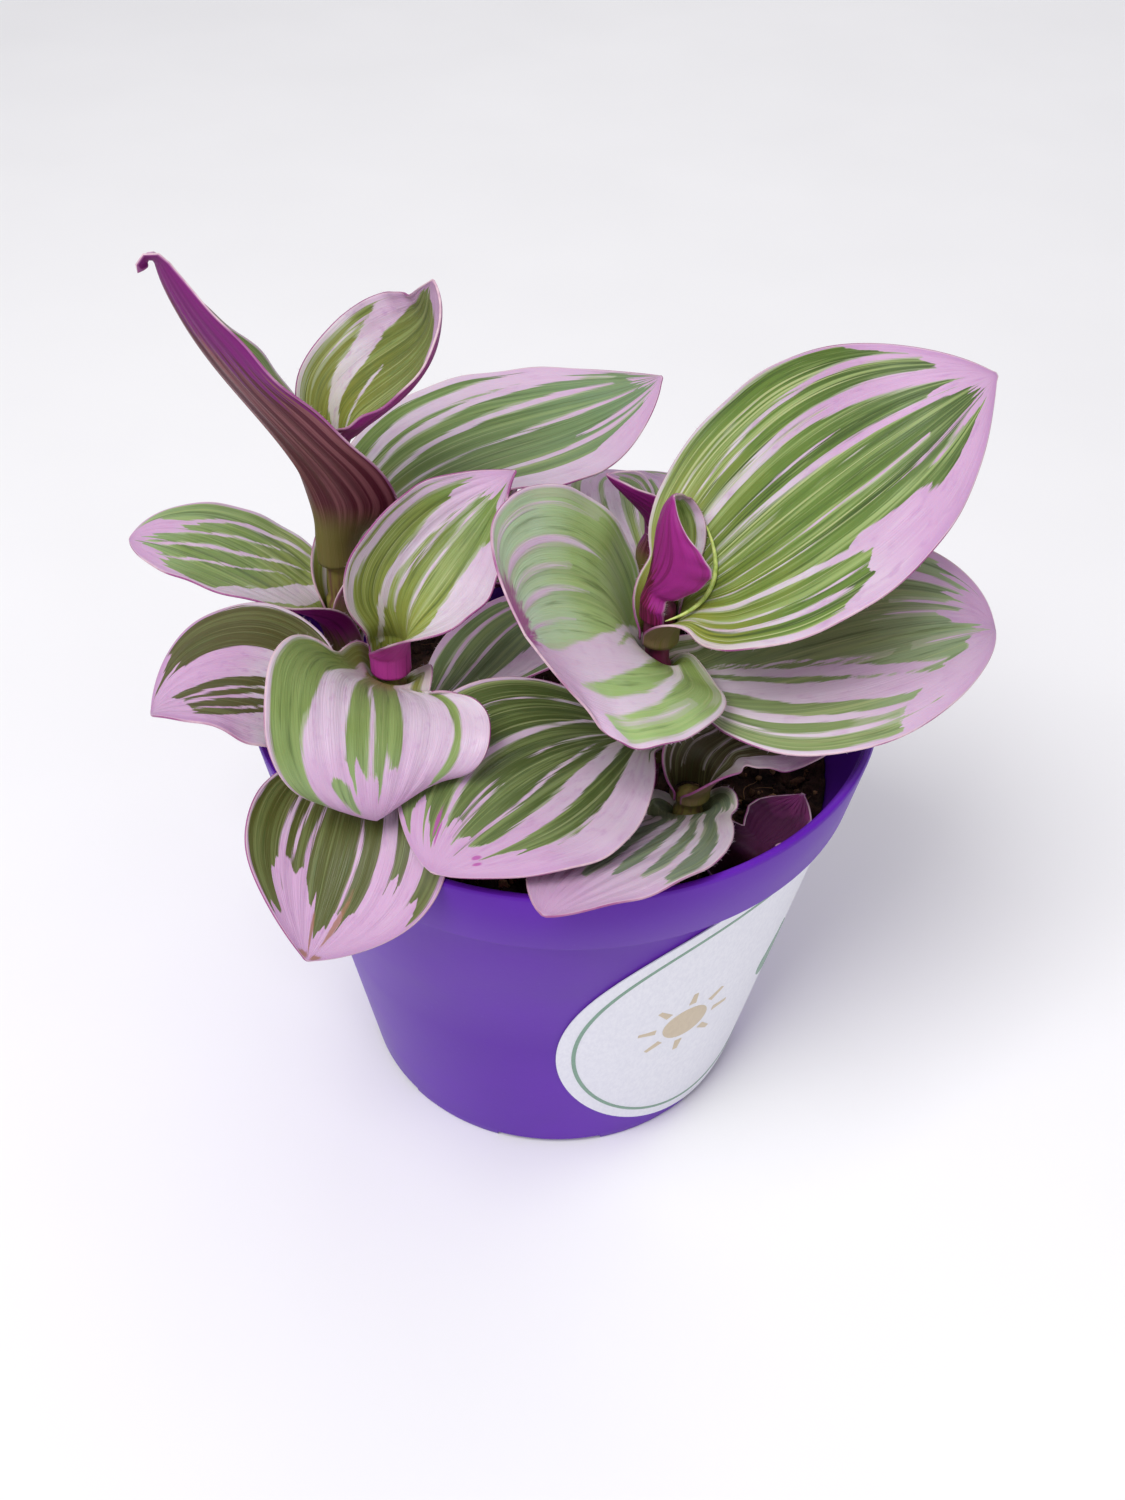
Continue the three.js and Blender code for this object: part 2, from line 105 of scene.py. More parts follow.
# Soil, 0.45 below any leaf within 1.6 of it. Its crumbs and fibres keep clear of the wall, the stems and
# the leaves. Each of the waves has a rate and a height, and all lies 0.25 below the CAD model's top.
SOIL_CLEARANCE = 0.3
SOIL_TOP = 67.4
SOIL_EDGE = 66.4
SOIL_RELIEF = 1.5
SOIL_RINGS = 60
SOIL_SIDES = 180
SOIL_WAVES = ((0.5, 0.3), (1.1, 0.22), (2.3, 0.16))
SOIL_WAVE_COUNT = 5
SOIL_GRIT = 0.12
SOIL_DROP = 0.25
LEAF_CLEARANCE = 8.0
SOIL_REACH = 1.6
SOIL_GAP = 0.45
STEM_CLEARANCE = 3.6
CRUMB_COUNT = 1700
CRUMB_SIZE = 0.35
CRUMB_GROWTH = 0.95
CRUMB_EDGE_GAP = 0.8
CRUMB_REACH = 1.25
CRUMB_CLEARANCE = 0.5
CRUMB_RISE = 0.25
CRUMB_STRETCH = (0.45, 1.2)
CRUMB_ROUGHNESS = 0.2
FIBRE_COUNT = 110
FIBRE_LENGTHS = (2.5, 8.0)
FIBRE_RADII = (0.07, 0.16)
FIBRE_STEPS = 12
FIBRE_SIDES = 6
FIBRE_BEND = 0.25
FIBRE_LIFT = 0.35
FIBRE_CURL = 0.3
FIBRE_CLEARANCE = 0.7
FIBRE_EDGE_GAP = 0.9

# Stems
STEM_FOOT = 58.0
STEM_RADIUS = 1.95
NODE_RADIUS = 2.45
NODE_BELOW = 1.6
NODE_ABOVE = 3.4
NODE_SHOULDER = 1.2
STEM_ROUNDING = 1.6
STEM_STEP = 0.5
STEM_SIDES = 28

# Leaves. The starts are shares of the sheath, and the reaches are shares of the blade's length.
SHEATH_RADIUS = 3.0
BEND_START = 0.6
UNFOLD_START = 0.25
UNFOLD_REACH = 0.7
MOUTH_REACH = 0.2
LOBE_REACH = 0.15
HALF_THICKNESS = 0.3
MARGIN_HALF_THICKNESS = 0.17
MARGIN_ROUNDING = 0.14
PLEAT_COUNT = 5
PLEAT_HEIGHT = 0.1
GROOVE_DEPTH = 0.22
GROOVE_WIDTH = 0.035
WAVE_COUNT = 3
WAVE_HEIGHT = 0.14
HAIR_LENGTHS = (0.35, 0.9)
HAIR_RADIUS = 0.025
HAIR_ROOT = 0.12
HAIRS_SHOWN = 90
HAIRS_HIDDEN = 40
LEAF_STEPS = 6
FINE_GRID = (96, 32)
PLAIN_GRID = (64, 22)
FINE_LENGTH = 25.0
TOOTH_COUNT = 56
FIELD_LIMIT = 4.0

# The pale margin of the youngest leaf: its start, the bulge that draws it out, and its end
YOUNG_EDGE = ((15, -12.5, 104.5), (26, -11, 108), (21, 1, 113.5))
YOUNG_EDGE_RADIUS = 0.06
YOUNG_EDGE_SWELL = 0.34
YOUNG_EDGE_STEPS = 40
YOUNG_EDGE_SIDES = 10

# Seeds of the random draws
LEAF_SEED = 100
SOIL_SEED = 61
CRUMB_SEED = 7
FIBRE_SEED = 23

# Scene, with the camera solved from the photograph
FLOOR_REACH = 3000.0
CAMERA_DISTANCE = 280.0
CAMERA_ELEVATION = 42.0
CAMERA_ROLL = -2.0
CAMERA_AIM = 66.0
FOCAL_PIXELS = 1600.0
PHOTO_HEIGHT = 1500.0
SENSOR_WIDTH = 36.0
WORLD_COLOUR = (250, 250, 255)
WORLD_STRENGTH = 0.5

# The place and the size of each light in metres, and its power in watts
LIGHT_AIM = 0.08
LIGHTS = {
    "key": ((-0.3, -0.4, 0.9), 0.5, 7.0),
    "fill": ((0.7, -0.6, 0.5), 0.8, 1.2),
    "back_light": ((0.2, 0.8, 0.7), 0.7, 1.6),
}

# The places of the shoots, and the heights of their tops
SHOOTS = {
    "left": dict(x=-38.5, y=10.0, top=113.6),
    "middle": dict(x=-27.5, y=-13.0, top=95.1),
    "front": dict(x=-35.5, y=-20.0, top=82.2),
    "right": dict(x=14.5, y=-8.0, top=105.6),
    "low": dict(x=20.5, y=-22.5, top=79.2),
    "corner": dict(x=28.0, y=-31.5, top=68.6),
    "back": dict(x=15.0, y=25.0, top=88.2),
    "rear": dict(x=-18.0, y=32.0, top=81.7),
}

# A leaf's name begins with that of its shoot. foot is the height where its sheath starts, widest the share
# of its length where it is widest, and open how far along it takes to unfold. heading, rise, roll and the
# cup of each half are in degrees at the base, the middle and the tip. blunt is lower for a rounder outline,
# lobe draws the margins back at the base, keel folds both halves up, hook bends the last share of the tip
# by so many degrees, tip is half the tip's width, sheath the sheath's length, and wrap how many degrees
# each half of it reaches round the stem.
LEAF_DEFAULTS = dict(keel=0, lobe=0, sheath=4.0, wrap=168.0, hook=(0, 1), tip=0.35)
LEAVES = {
    "left_folded": dict(
        foot=98.1, length=58.4, width=33.9, widest=0.33, open=0.2,
        heading=(222, 197, 194), rise=(94, 59, 86), roll=(20, 11, 23),
        cup_left=(34, 34, 44), cup_right=(74, 27, 37), keel=10, blunt=0.78, hook=(-185, 0.05), tip=1.7,
    ),
    "left_upright": dict(
        foot=112.4, length=37.8, width=30.7, widest=0.42, open=0.42,
        heading=(16, -17, -8), rise=(72, 45, 121), roll=(26, 24, 40),
        cup_left=(76, 51, 24), cup_right=(75, 55, 17), blunt=0.74, hook=(-16, 0.2),
    ),
    "left_long": dict(
        foot=86.5, length=71.7, width=37.2, widest=0.51, open=0.22,
        heading=(55, 33, 22), rise=(63, 3, 37), roll=(1, 3, 21),
        cup_left=(54, 21, 22), cup_right=(63, 27, 8), blunt=0.86,
    ),
    "left_side": dict(
        foot=77.4, length=40.8, width=31.9, widest=0.4, open=0.36,
        heading=(173, 170, 169), rise=(31, 26, -24), roll=(15, 10, -13),
        cup_left=(65, 20, 17), cup_right=(48, 10, 23), blunt=0.75,
    ),
    "middle_cupped": dict(
        foot=93.9, length=34.6, width=24.7, widest=0.39, open=0.49,
        heading=(3, 39, 5), rise=(118, 39, 58), roll=(5, 38, 3),
        cup_left=(87, 64, 33), cup_right=(102, 54, 36), blunt=0.81,
    ),
    "middle_heart": dict(
        foot=87.6, length=40.7, width=33.7, widest=0.53, open=0.15,
        heading=(-96, -84, -98), rise=(29, 11, -117), roll=(-11, -24, -16),
        cup_left=(21, 32, -59), cup_right=(60, 18, -50), blunt=0.59, lobe=-10.2,
    ),
    "middle_back": dict(
        foot=77.5, length=41.9, width=27.7, widest=0.48, open=0.2,
        heading=(-8, 61, 29), rise=(26, 1, -3), roll=(-30, -17, 28),
        cup_left=(42, 2, 30), cup_right=(55, 14, 14), blunt=0.77,
    ),
    "front_side": dict(
        foot=81.0, length=32.6, width=30.6, widest=0.46, open=0.23,
        heading=(164, 190, 199), rise=(65, 15, -52), roll=(-6, -4, 9),
        cup_left=(40, 12, 30), cup_right=(47, 17, 25), blunt=0.78,
    ),
    "front_drooping": dict(
        foot=70.8, length=48.8, width=30.6, widest=0.64, open=0.22,
        heading=(-53, -91, -117), rise=(98, -8, -36), roll=(2, -1, -42),
        cup_left=(39, 27, -4), cup_right=(23, 39, 21), blunt=0.82,
    ),
    "right_large": dict(
        foot=97.8, length=60.6, width=49.6, widest=0.43, open=0.13,
        heading=(15, 6, 32), rise=(38, 45, 11), roll=(15, 15, 36),
        cup_left=(40, 14, 15), cup_right=(45, 8, -6), blunt=0.91, lobe=6,
    ),
    "right_arched": dict(
        foot=89.2, length=41.6, width=44.2, widest=0.5, open=0.19,
        heading=(-114, -141, -90), rise=(60, 36, 18), roll=(-6, -31, -56),
        cup_left=(42, 17, 4), cup_right=(98, 21, 12), blunt=0.51, lobe=6.1,
    ),
    "right_side": dict(
        foot=82.4, length=56.5, width=39.8, widest=0.45, open=0.15,
        heading=(0, -5, 35), rise=(2, 26, -37), roll=(-3, 18, 36),
        cup_left=(37, 22, 39), cup_right=(28, 5, 18), blunt=0.79,
    ),
    "right_front": dict(
        foot=73.6, length=56.5, width=36.2, widest=0.61, open=0.1,
        heading=(-122, -127, -119), rise=(30, 15, -16), roll=(-7, -14, 2),
        cup_left=(53, 23, -15), cup_right=(76, 29, -21), blunt=0.69,
    ),
    "right_rolled": dict(
        foot=102.4, length=17.9, width=24.1, widest=0.52, open=0.3,
        heading=(145, 182, 176), rise=(110, 94, 120), roll=(-8, 0, -4),
        cup_left=(111, 89, 42), cup_right=(121, 95, 41), blunt=0.73, sheath=3.0, wrap=140.0,
    ),
    "low_shaded": dict(
        foot=78.0, length=30.0, width=18.0, widest=0.48, open=0.18,
        heading=(44, 10, -10), rise=(30, 6, -8), roll=(6, 17, -5),
        cup_left=(60, 22, 20), cup_right=(50, -5, 25), blunt=0.8,
    ),
    "low_on_rim": dict(
        foot=71.0, length=43.0, width=24.0, widest=0.52, open=0.12,
        heading=(-98, -131, -118), rise=(30, 17, -3), roll=(14, 15, 3),
        cup_left=(20, 0, 20), cup_right=(10, -8, 20), blunt=0.62, lobe=3,
    ),
    "corner_dark": dict(
        foot=67.4, length=15.5, width=10.8, widest=0.46, open=0.16,
        heading=(48, 50, 60), rise=(12, 6, 6), roll=(0, 0, 0),
        cup_left=(45, 34, 25), cup_right=(45, 34, 21), blunt=0.95,
    ),
    "back_outer": dict(
        foot=79.9, length=35.1, width=26.0, widest=0.5, open=0.22,
        heading=(111, 95, 90), rise=(49, -2, -24), roll=(0, 0, 0),
        cup_left=(45, 20, 15), cup_right=(45, 20, 15), blunt=0.8,
    ),
    "back_young": dict(
        foot=87.0, length=23.0, width=14.0, widest=0.44, open=0.3,
        heading=(233, 214, 194), rise=(116, 57, 55), roll=(16, -1, 5),
        cup_left=(90, 60, 42), cup_right=(90, 60, 40), keel=16, blunt=0.8,
    ),
    "back_side": dict(
        foot=72.9, length=46.4, width=30.0, widest=0.5, open=0.22,
        heading=(4, 14, 15), rise=(50, 6, -23), roll=(0, 0, 0),
        cup_left=(45, 20, 15), cup_right=(45, 20, 15), blunt=0.8,
    ),
    "rear_outer": dict(
        foot=80.5, length=32.1, width=29.4, widest=0.5, open=0.23,
        heading=(118, 111, 104), rise=(85, 10, -72), roll=(0, 6, 2),
        cup_left=(45, 18, 16), cup_right=(45, 20, 15), blunt=0.8,
    ),
    "rear_side": dict(
        foot=72.1, length=25.0, width=23.4, widest=0.51, open=0.19,
        heading=(7, 39, 121), rise=(30, 16, 33), roll=(-41, -3, -41),
        cup_left=(45, 20, 15), cup_right=(44, 21, 26), blunt=0.79,
    ),
}

# The widths in u of the right and the left pale margin, and the v where the green stops, at even steps of u
GREEN_ENDS = {
    "left_folded": (0.01, 0.03, (0.9, 0.9, 0.9, 0.95, 0.9, 0.9, 0.8)),
    "left_upright": (0.03, 0.03, (0.5, 0.55, 0.62, 0.72, 0.84, 0.92, 0.95, 0.95, 0.9)),
    "left_long": (0.19, 0.03, (0.6, 0.7, 0.8, 0.95, 0.96, 0.98, 0.97, 0.97, 0.97, 0.96, 0.94)),
    "left_side": (0.02, 0.03, (0.92, 0.92, 0.9, 0.76, 0.78, 0.9, 0.8, 0.9, 0.8, 0.75, 0.6)),
    "middle_cupped": (0.04, 0.03, (0.88, 0.88, 0.86, 0.86, 0.87, 0.84, 0.8, 0.75, 0.84, 0.82)),
    "middle_heart": (0.012, 0.02, (0.88, 0.87, 0.85, 0.85, 0.77, 0.83, 0.79, 0.8, 0.8, 0.8, 0.8)),
    "middle_back": (0.04, 0.05, (0.7, 0.8, 0.9, 0.9, 0.9, 0.8)),
    "front_side": (0.015, 0.03, (0.82, 0.86, 0.8, 0.8, 0.8, 0.82, 0.84, 0.82, 0.75, 0.7)),
    "front_drooping": (0.01, 0.02, (0.85, 0.84, 0.76, 0.78, 0.84, 0.91, 0.86, 0.82, 0.72, 0.74, 0.8)),
    "right_large": (0.03, 0.01, (0.5, 0.6, 0.9, 0.89, 0.95, 0.92, 0.85, 0.9, 0.84, 0.88, 0.77)),
    "right_arched": (0.01, 0.02, (0.96, 0.96, 0.95, 0.96, 0.97, 0.96, 0.95, 0.76, 0.76, 0.68, 0.6)),
    "right_side": (0.02, 0.05, (0.67, 0.68, 0.75, 0.86, 0.9, 0.88, 0.83, 0.88, 0.8, 0.85, 0.8)),
    "right_front": (0.01, 0.04, (0.9, 0.92, 0.86, 0.9, 0.86, 0.9, 0.9, 0.86, 0.82, 0.6, 0.5)),
    "right_rolled": (0.06, 0.06, (0.8, 0.9, 0.9, 0.8)),
    "low_shaded": (0.16, 0.03, (0.8, 0.85, 0.9, 0.85, 0.7)),
    "corner_dark": (0, 0, (0.98, 0.98)),
    "low_on_rim": (0.1, 0.03, (0.1, 0.1, 0.1)),
}

# How much the end of the green is toothed, where it isn't 1
TEETH = {"right_arched": 0.6}

# The pale bands of each blade: first v, last v, the u of the middle along it, the width in u along it
PALE_BANDS = {
    "left_folded": [
        (0, 0.8, (0.12,), (0.03,)),
        (0, 0.8, (0.3,), (0.03,)),
        (0, 0.8, (0.68,), (0.04,)),
    ],
    "left_upright": [
        (0, 1, (0.56, 0.76, 0.89, 0.95, 0.98), (0.06, 0.12, 0.14, 0.12, 0.12)),
        (0, 0.42, (0.44, 0.66), (0.02, 0.02)),
        (0.2, 0.8, (0.9, 0.97), (0.01, 0.012)),
    ],
    "left_long": [
        (0, 0.95, (0.3, 0.3, 0.33), (0.02, 0.03, 0.05)),
        (0.75, 1, (0.39, 0.4), (0.02, 0.05)),
        (0.1, 0.95, (0.52, 0.54, 0.6), (0.01, 0.015, 0.03)),
        (0, 0.92, (0.6, 0.69, 0.8), (0.02, 0.03, 0.05)),
        (0, 0.85, (0.7, 0.8, 0.91), (0.02, 0.03, 0.05)),
        (0, 0.9, (0.8, 0.88, 0.97), (0.04, 0.06, 0.08)),
    ],
    "left_side": [
        (0.2, 0.92, (0.07, 0.15, 0.34), (0.015, 0.03, 0.06)),
        (0.35, 0.8, (0.18, 0.42), (0.012, 0.03)),
        (0.22, 0.92, (0.2, 0.45, 0.68), (0.015, 0.03, 0.05)),
        (0.32, 0.8, (0.38, 0.62, 0.82), (0.015, 0.02, 0.03)),
        (0.08, 0.56, (0.15, 0.52, 0.86, 1.06), (0.12, 0.32, 0.32, 0.24)),
    ],
    "middle_cupped": [
        (0.21, 0.74, (0.08, 0.12, 0.12), (0.36, 0.34, 0.28)),
        (0.1, 0.84, (0.46, 0.48, 0.53), (0.01, 0.012, 0.014)),
        (0.2, 0.84, (0.6, 0.585, 0.63), (0.014, 0.02, 0.03)),
        (0, 1, (0.85, 0.68, 0.66, 0.7, 0.76), (0.06, 0.055, 0.07, 0.12, 0.24)),
        (0.1, 1, (0.98, 0.91, 0.92, 0.98), (0.05, 0.06, 0.06, 0.06)),
    ],
    "middle_heart": [
        (0, 1, (0.22, 0.34, 0.31, 0.25, 0.22), (0.1, 0.12, 0.15, 0.2, 0.24)),
        (0.25, 0.95, (0.47, 0.485, 0.48), (0.015, 0.02, 0.03)),
        (0, 1, (0.7, 0.72, 0.74, 0.74), (0.16, 0.22, 0.22, 0.24)),
        (0, 1, (1, 0.96, 0.97), (0.18, 0.16, 0.1)),
        (0.7, 0.92, (0.57, 0.57), (0.01, 0.06)),
    ],
    "middle_back": [
        (0, 1, (0.33, 0.25), (0.3, 0.2)),
        (0.1, 0.95, (0.64, 0.66), (0.025, 0.03)),
        (0.1, 0.95, (0.8, 0.84), (0.03, 0.04)),
    ],
    "front_side": [
        (0.1, 1, (0.33, 0.46), (0.14, 0.29)),
        (0.3, 0.88, (0.52, 0.68), (0.015, 0.03)),
        (0.3, 0.88, (0.58, 0.76), (0.02, 0.04)),
        (0.3, 0.8, (0.66, 0.84), (0.012, 0.02)),
        (0.2, 1, (0.81, 1.05), (0.36, 0.02)),
    ],
    "front_drooping": [
        (0.3, 0.86, (0.2, 0.2), (0.02, 0.035)),
        (0.3, 0.8, (0.3, 0.25), (0.014, 0.02)),
        (0.3, 0.86, (0.38, 0.31), (0.014, 0.022)),
        (0.3, 0.92, (0.55, 0.57), (0.012, 0.025)),
        (0.3, 1, (0.68, 0.72), (0.05, 0.1)),
        (0.4, 1, (0.84, 0.85), (0.06, 0.1)),
    ],
    "right_large": [
        (0, 0.5, (0.13, 0.1, 0.09), (0.015, 0.018, 0.03)),
        (0.05, 0.58, (0.16, 0.155, 0.13), (0.006, 0.008, 0.01)),
        (0.03, 0.6, (0.25, 0.25, 0.19), (0.015, 0.026, 0.04)),
        (0.46, 1, (0.04, 0.03, 0.02), (0.1, 0.14, 0.1)),
        (0.53, 1, (0.12, 0.07, 0.04), (0.24, 0.19, 0.12)),
        (0.15, 0.97, (0.59, 0.575, 0.55), (0.012, 0.026, 0.05)),
        (0.15, 0.6, (0.635, 0.64), (0.006, 0.012)),
        (0.08, 1, (0.735, 0.745, 0.735), (0.04, 0.055, 0.12)),
        (0.18, 0.92, (0.84, 0.865, 0.93), (0.008, 0.02, 0.04)),
        (0.74, 0.93, (0.26, 0.3), (0.01, 0.03)),
        (0.7, 0.93, (0.31, 0.33), (0.006, 0.02)),
        (0.5, 0.74, (0.22, 0.2), (0.09, 0.02)),
        (0.1, 0.7, (0.33, 0.32), (0.004, 0.006)),
        (0.1, 0.8, (0.39, 0.39), (0.004, 0.006)),
        (0.08, 0.6, (0.46, 0.46), (0.004, 0.005)),
        (0.12, 0.7, (0.53, 0.52), (0.004, 0.007)),
        (0.1, 0.5, (0.8, 0.82), (0.004, 0.006)),
        (0.1, 0.5, (0.9, 0.92), (0.005, 0.008)),
    ],
    "right_arched": [
        (0, 1, (0.26, 0.5, 0.6, 0.66, 0.71, 0.74), (0.48, 0.22, 0.17, 0.15, 0.15, 0.14)),
        (0, 1, (0.75, 0.755, 0.81, 0.84, 0.84, 0.84), (0.1, 0.05, 0.05, 0.07, 0.12, 0.2)),
        (0.3, 0.64, (0.89, 0.9), (0.01, 0.014)),
        (0.45, 0.92, (0.07, 0.07), (0.008, 0.014)),
        (0.4, 0.92, (0.2, 0.2), (0.014, 0.045)),
        (0.6, 0.9, (0.3, 0.3), (0.01, 0.02)),
        (0.5, 0.92, (0.38, 0.4), (0.012, 0.026)),
        (0.62, 0.93, (0.5, 0.52), (0.008, 0.018)),
    ],
    "right_side": [
        (0, 0.66, (0.13, 0.1, 0.085), (0.01, 0.02, 0.022)),
        (0, 0.72, (0.24, 0.18, 0.13), (0.05, 0.04, 0.03)),
        (0, 0.8, (0.48, 0.31, 0.2), (0.09, 0.1, 0.1)),
        (0, 0.78, (0.6, 0.42, 0.28), (0.05, 0.05, 0.05)),
        (0, 0.62, (0.68, 0.5, 0.4), (0.006, 0.012, 0.014)),
        (0.73, 0.93, (0.41, 0.4), (0.01, 0.03)),
        (0.64, 0.93, (0.59, 0.6), (0.006, 0.02)),
        (0.7, 1, (0.66, 0.66), (0.01, 0.03)),
        (0, 0.9, (0.85, 0.8), (0.03, 0.05)),
    ],
    "right_front": [
        (0.08, 0.95, (0.18, 0.29, 0.31, 0.37), (0.018, 0.02, 0.022, 0.03)),
        (0.2, 0.95, (0.45, 0.52, 0.57, 0.58), (0.008, 0.015, 0.018, 0.02)),
        (0, 1, (0.46, 0.62, 0.68, 0.72), (0.1, 0.1, 0.08, 0.06)),
        (0.1, 0.8, (0.1, 0.12), (0.006, 0.012)),
        (0.2, 0.88, (0.39, 0.43), (0.005, 0.01)),
        (0, 1, (0.8, 0.88, 0.92, 0.96), (0.2, 0.19, 0.17, 0.14)),
        (0.68, 1, (0.45, 0.47), (0.01, 0.04)),
        (0.5, 0.84, (0.8, 0.84), (0.006, 0.012)),
    ],
    "right_rolled": [
        (0, 0.9, (0.3, 0.3), (0.05, 0.05)),
        (0, 0.9, (0.7, 0.7), (0.06, 0.06)),
    ],
    "low_shaded": [
        (0, 1, (0.3, 0.33), (0.012, 0.02)),
        (0, 1, (0.48, 0.5), (0.015, 0.03)),
        (0, 1, (0.7, 0.72), (0.015, 0.03)),
        (0, 1, (0.86, 0.84), (0.012, 0.03)),
    ],
    "corner_dark": [],
    "low_on_rim": [],
}

# The green bands that lie over the pale ones, in the same form
GREEN_BANDS = {
    "left_side": [(0.3, 0.6, (0.5, 0.78, 0.98), (0.02, 0.04, 0.03))],
    "middle_heart": [(0.8, 0.96, (0.29, 0.35), (0.1, 0.06))],
    "front_side": [(0.8, 0.95, (0.18, 0.2), (0.08, 0.05))],
    "right_large": [(0.2, 0.66, (0.745, 0.745), (0.007, 0.01))],
    "right_arched": [(0, 0.4, (0.22, 0.44, 0.57), (0.03, 0.035, 0.012))],
    "low_on_rim": [
        (0, 0.8, (0.25, 0.5), (0.1, 0.14)),
        (0, 0.72, (0.42, 0.65), (0.08, 0.1)),
        (0, 0.68, (0.58, 0.81), (0.08, 0.09)),
        (0, 0.66, (0.74, 0.96), (0.12, 0.13)),
        (0.1, 0.6, (0.12, 0.3), (0.04, 0.05)),
    ],
}

# Colours, in the 0 to 255 of a picture
LIGHT_GREEN = (160, 178, 112)
SHADE_GREEN = (62, 82, 34)
HALF_GREEN = (172, 178, 150)
HAIRLINE = (190, 198, 140)
CREAM = (208, 201, 190)
LILAC = (212, 199, 210)
PINK = (197, 157, 193)
ROSE = (178, 128, 177)
MARGIN_CREAM = (220, 200, 198)
MARGIN_PINK = (186, 122, 172)
MAGENTA = (146, 34, 124)
PURPLE = (92, 20, 84)
MAROON = (82, 22, 40)
MAUVE = (132, 80, 86)
OLIVE = (112, 108, 52)
BRUISE = (172, 74, 156)
DRY_BROWN = (150, 104, 78)
# The dark tone that the low leaves are mixed towards: painted shade
PAINTED_SHADE_TONE = (48, 20, 34)

# Greens of a blade: at its base, in its body and at its far end
GREENS = ((150, 154, 70), (112, 136, 66), (146, 168, 124))
DARK_GREENS = ((104, 108, 44), (76, 92, 42), (112, 128, 78))
SOFT_GREENS = ((130, 136, 54), (122, 142, 78), (136, 158, 110))
COOL_GREENS = ((148, 152, 70), (102, 126, 60), (112, 138, 104))
MILKY_GREENS = ((112, 136, 42), (152, 178, 112), (182, 198, 182))
OLIVE_GREENS = ((70, 64, 30), (80, 77, 40), (98, 98, 62))
BROWNED_GREENS = ((102, 100, 42), (82, 86, 38), (102, 108, 66))
DEEP_GREENS = ((138, 144, 60), (100, 126, 54), (56, 76, 34))
HAZY_GREENS = ((84, 100, 48), (96, 116, 66), (116, 136, 96))
# The hazy greens made lighter: painted light on the right side leaf, which lies in the large leaf's shade
HAZY_GREENS_PAINTED_LIGHT = ((108, 124, 64), (124, 144, 90), (148, 166, 132))
GREYED_GREENS = ((100, 110, 76), (112, 126, 102), (128, 140, 120))
WARM_GREENS = ((144, 144, 60), (112, 120, 56), (124, 134, 88))
# Dark wine tones of the small corner leaf: partly its own purple and partly painted shade
WINE_AND_PAINTED_SHADE = ((58, 22, 40), (70, 26, 58), (146, 58, 124))

# The upper face of each leaf that the photograph shows, in the terms of leaf_upper
SKINS = {
    "left_folded": dict(lime=0.5),
    "left_upright": dict(greens=WARM_GREENS, lime=0.45, grey=0.9, pink=0.8, contrast=0.45),
    "left_long": dict(greens=COOL_GREENS, lime=0.3, grey=0.4, pink=0.2, contrast=0.4),
    "left_side": dict(lime=0.45, grey=0.6, pink=0.4),
    "middle_cupped": dict(lime=0.75, grey=0.97, pink=0.22, contrast=0.5),
    "middle_heart": dict(greens=SOFT_GREENS, lime=0.3, grey=0.6, pink=0.4, contrast=0.25, soft=0.1),
    "middle_back": dict(greens=HAZY_GREENS, lime=0.1, grey=0.4, contrast=0.4),
    "front_side": dict(greens=OLIVE_GREENS, lime=0.2, grey=0.9, pink=0.9, half=0.3, contrast=0.15),
    "front_drooping": dict(
        greens=BROWNED_GREENS, lime=0.3, grey=0.8, pink=0.7, half=0.25, contrast=0.2,
        marks=[
            ((0.6, 0.88), (0.022, 0.1), DRY_BROWN), ((0.42, 0.93), (0.02, 0.08), DRY_BROWN),
            ((0.2, 0.985), (0.25, 0.012), DRY_BROWN), ((0.75, 0.985), (0.2, 0.012), DRY_BROWN),
        ],
    ),
    "right_large": dict(greens=DEEP_GREENS, lime=0.35, grey=0.5, pink=0.8, contrast=0.9, half=0.6),
    "right_arched": dict(
        greens=MILKY_GREENS, lime=0.42, grey=0.5, pink=0.08, contrast=0.2, half=1.4, soft=0.25,
        marks=[((0.33, 0.985), (0.42, 0.1), MAGENTA)],
    ),
    # The right side leaf's greens and pale carry painted light
    "right_side": dict(greens=HAZY_GREENS_PAINTED_LIGHT, lime=0.15, grey=0.5, pink=0.3, contrast=0.35),
    "right_front": dict(
        greens=DARK_GREENS, lime=0.1, grey=0.5, pink=0.5, contrast=0.4, half=0.6,
        marks=[
            ((0.31, 0.87), (0.014, 0.05), BRUISE), ((0.34, 0.9), (0.012, 0.04), BRUISE),
            ((0.71, 0.91), (0.03, 0.012), BRUISE), ((0.78, 0.925), (0.03, 0.012), BRUISE),
        ],
    ),
    "right_rolled": dict(lime=0.8, grey=0.95),
    # The two low leaves are darkened with painted shade
    "low_shaded": dict(greens=OLIVE_GREENS, lime=0.1, grey=0.5, pink=0.9, painted_shade=0.3, contrast=0.2),
    "low_on_rim": dict(greens=GREYED_GREENS, lime=0.1, grey=0.2, pink=0.3, painted_shade=0.06, contrast=0.3),
    # The corner leaf's dark colour is partly painted shade
    "corner_dark": dict(greens=WINE_AND_PAINTED_SHADE, lime=0.1, grey=0.55, pink=0.9, contrast=0.0, half=0.0, shine=0.15),
}

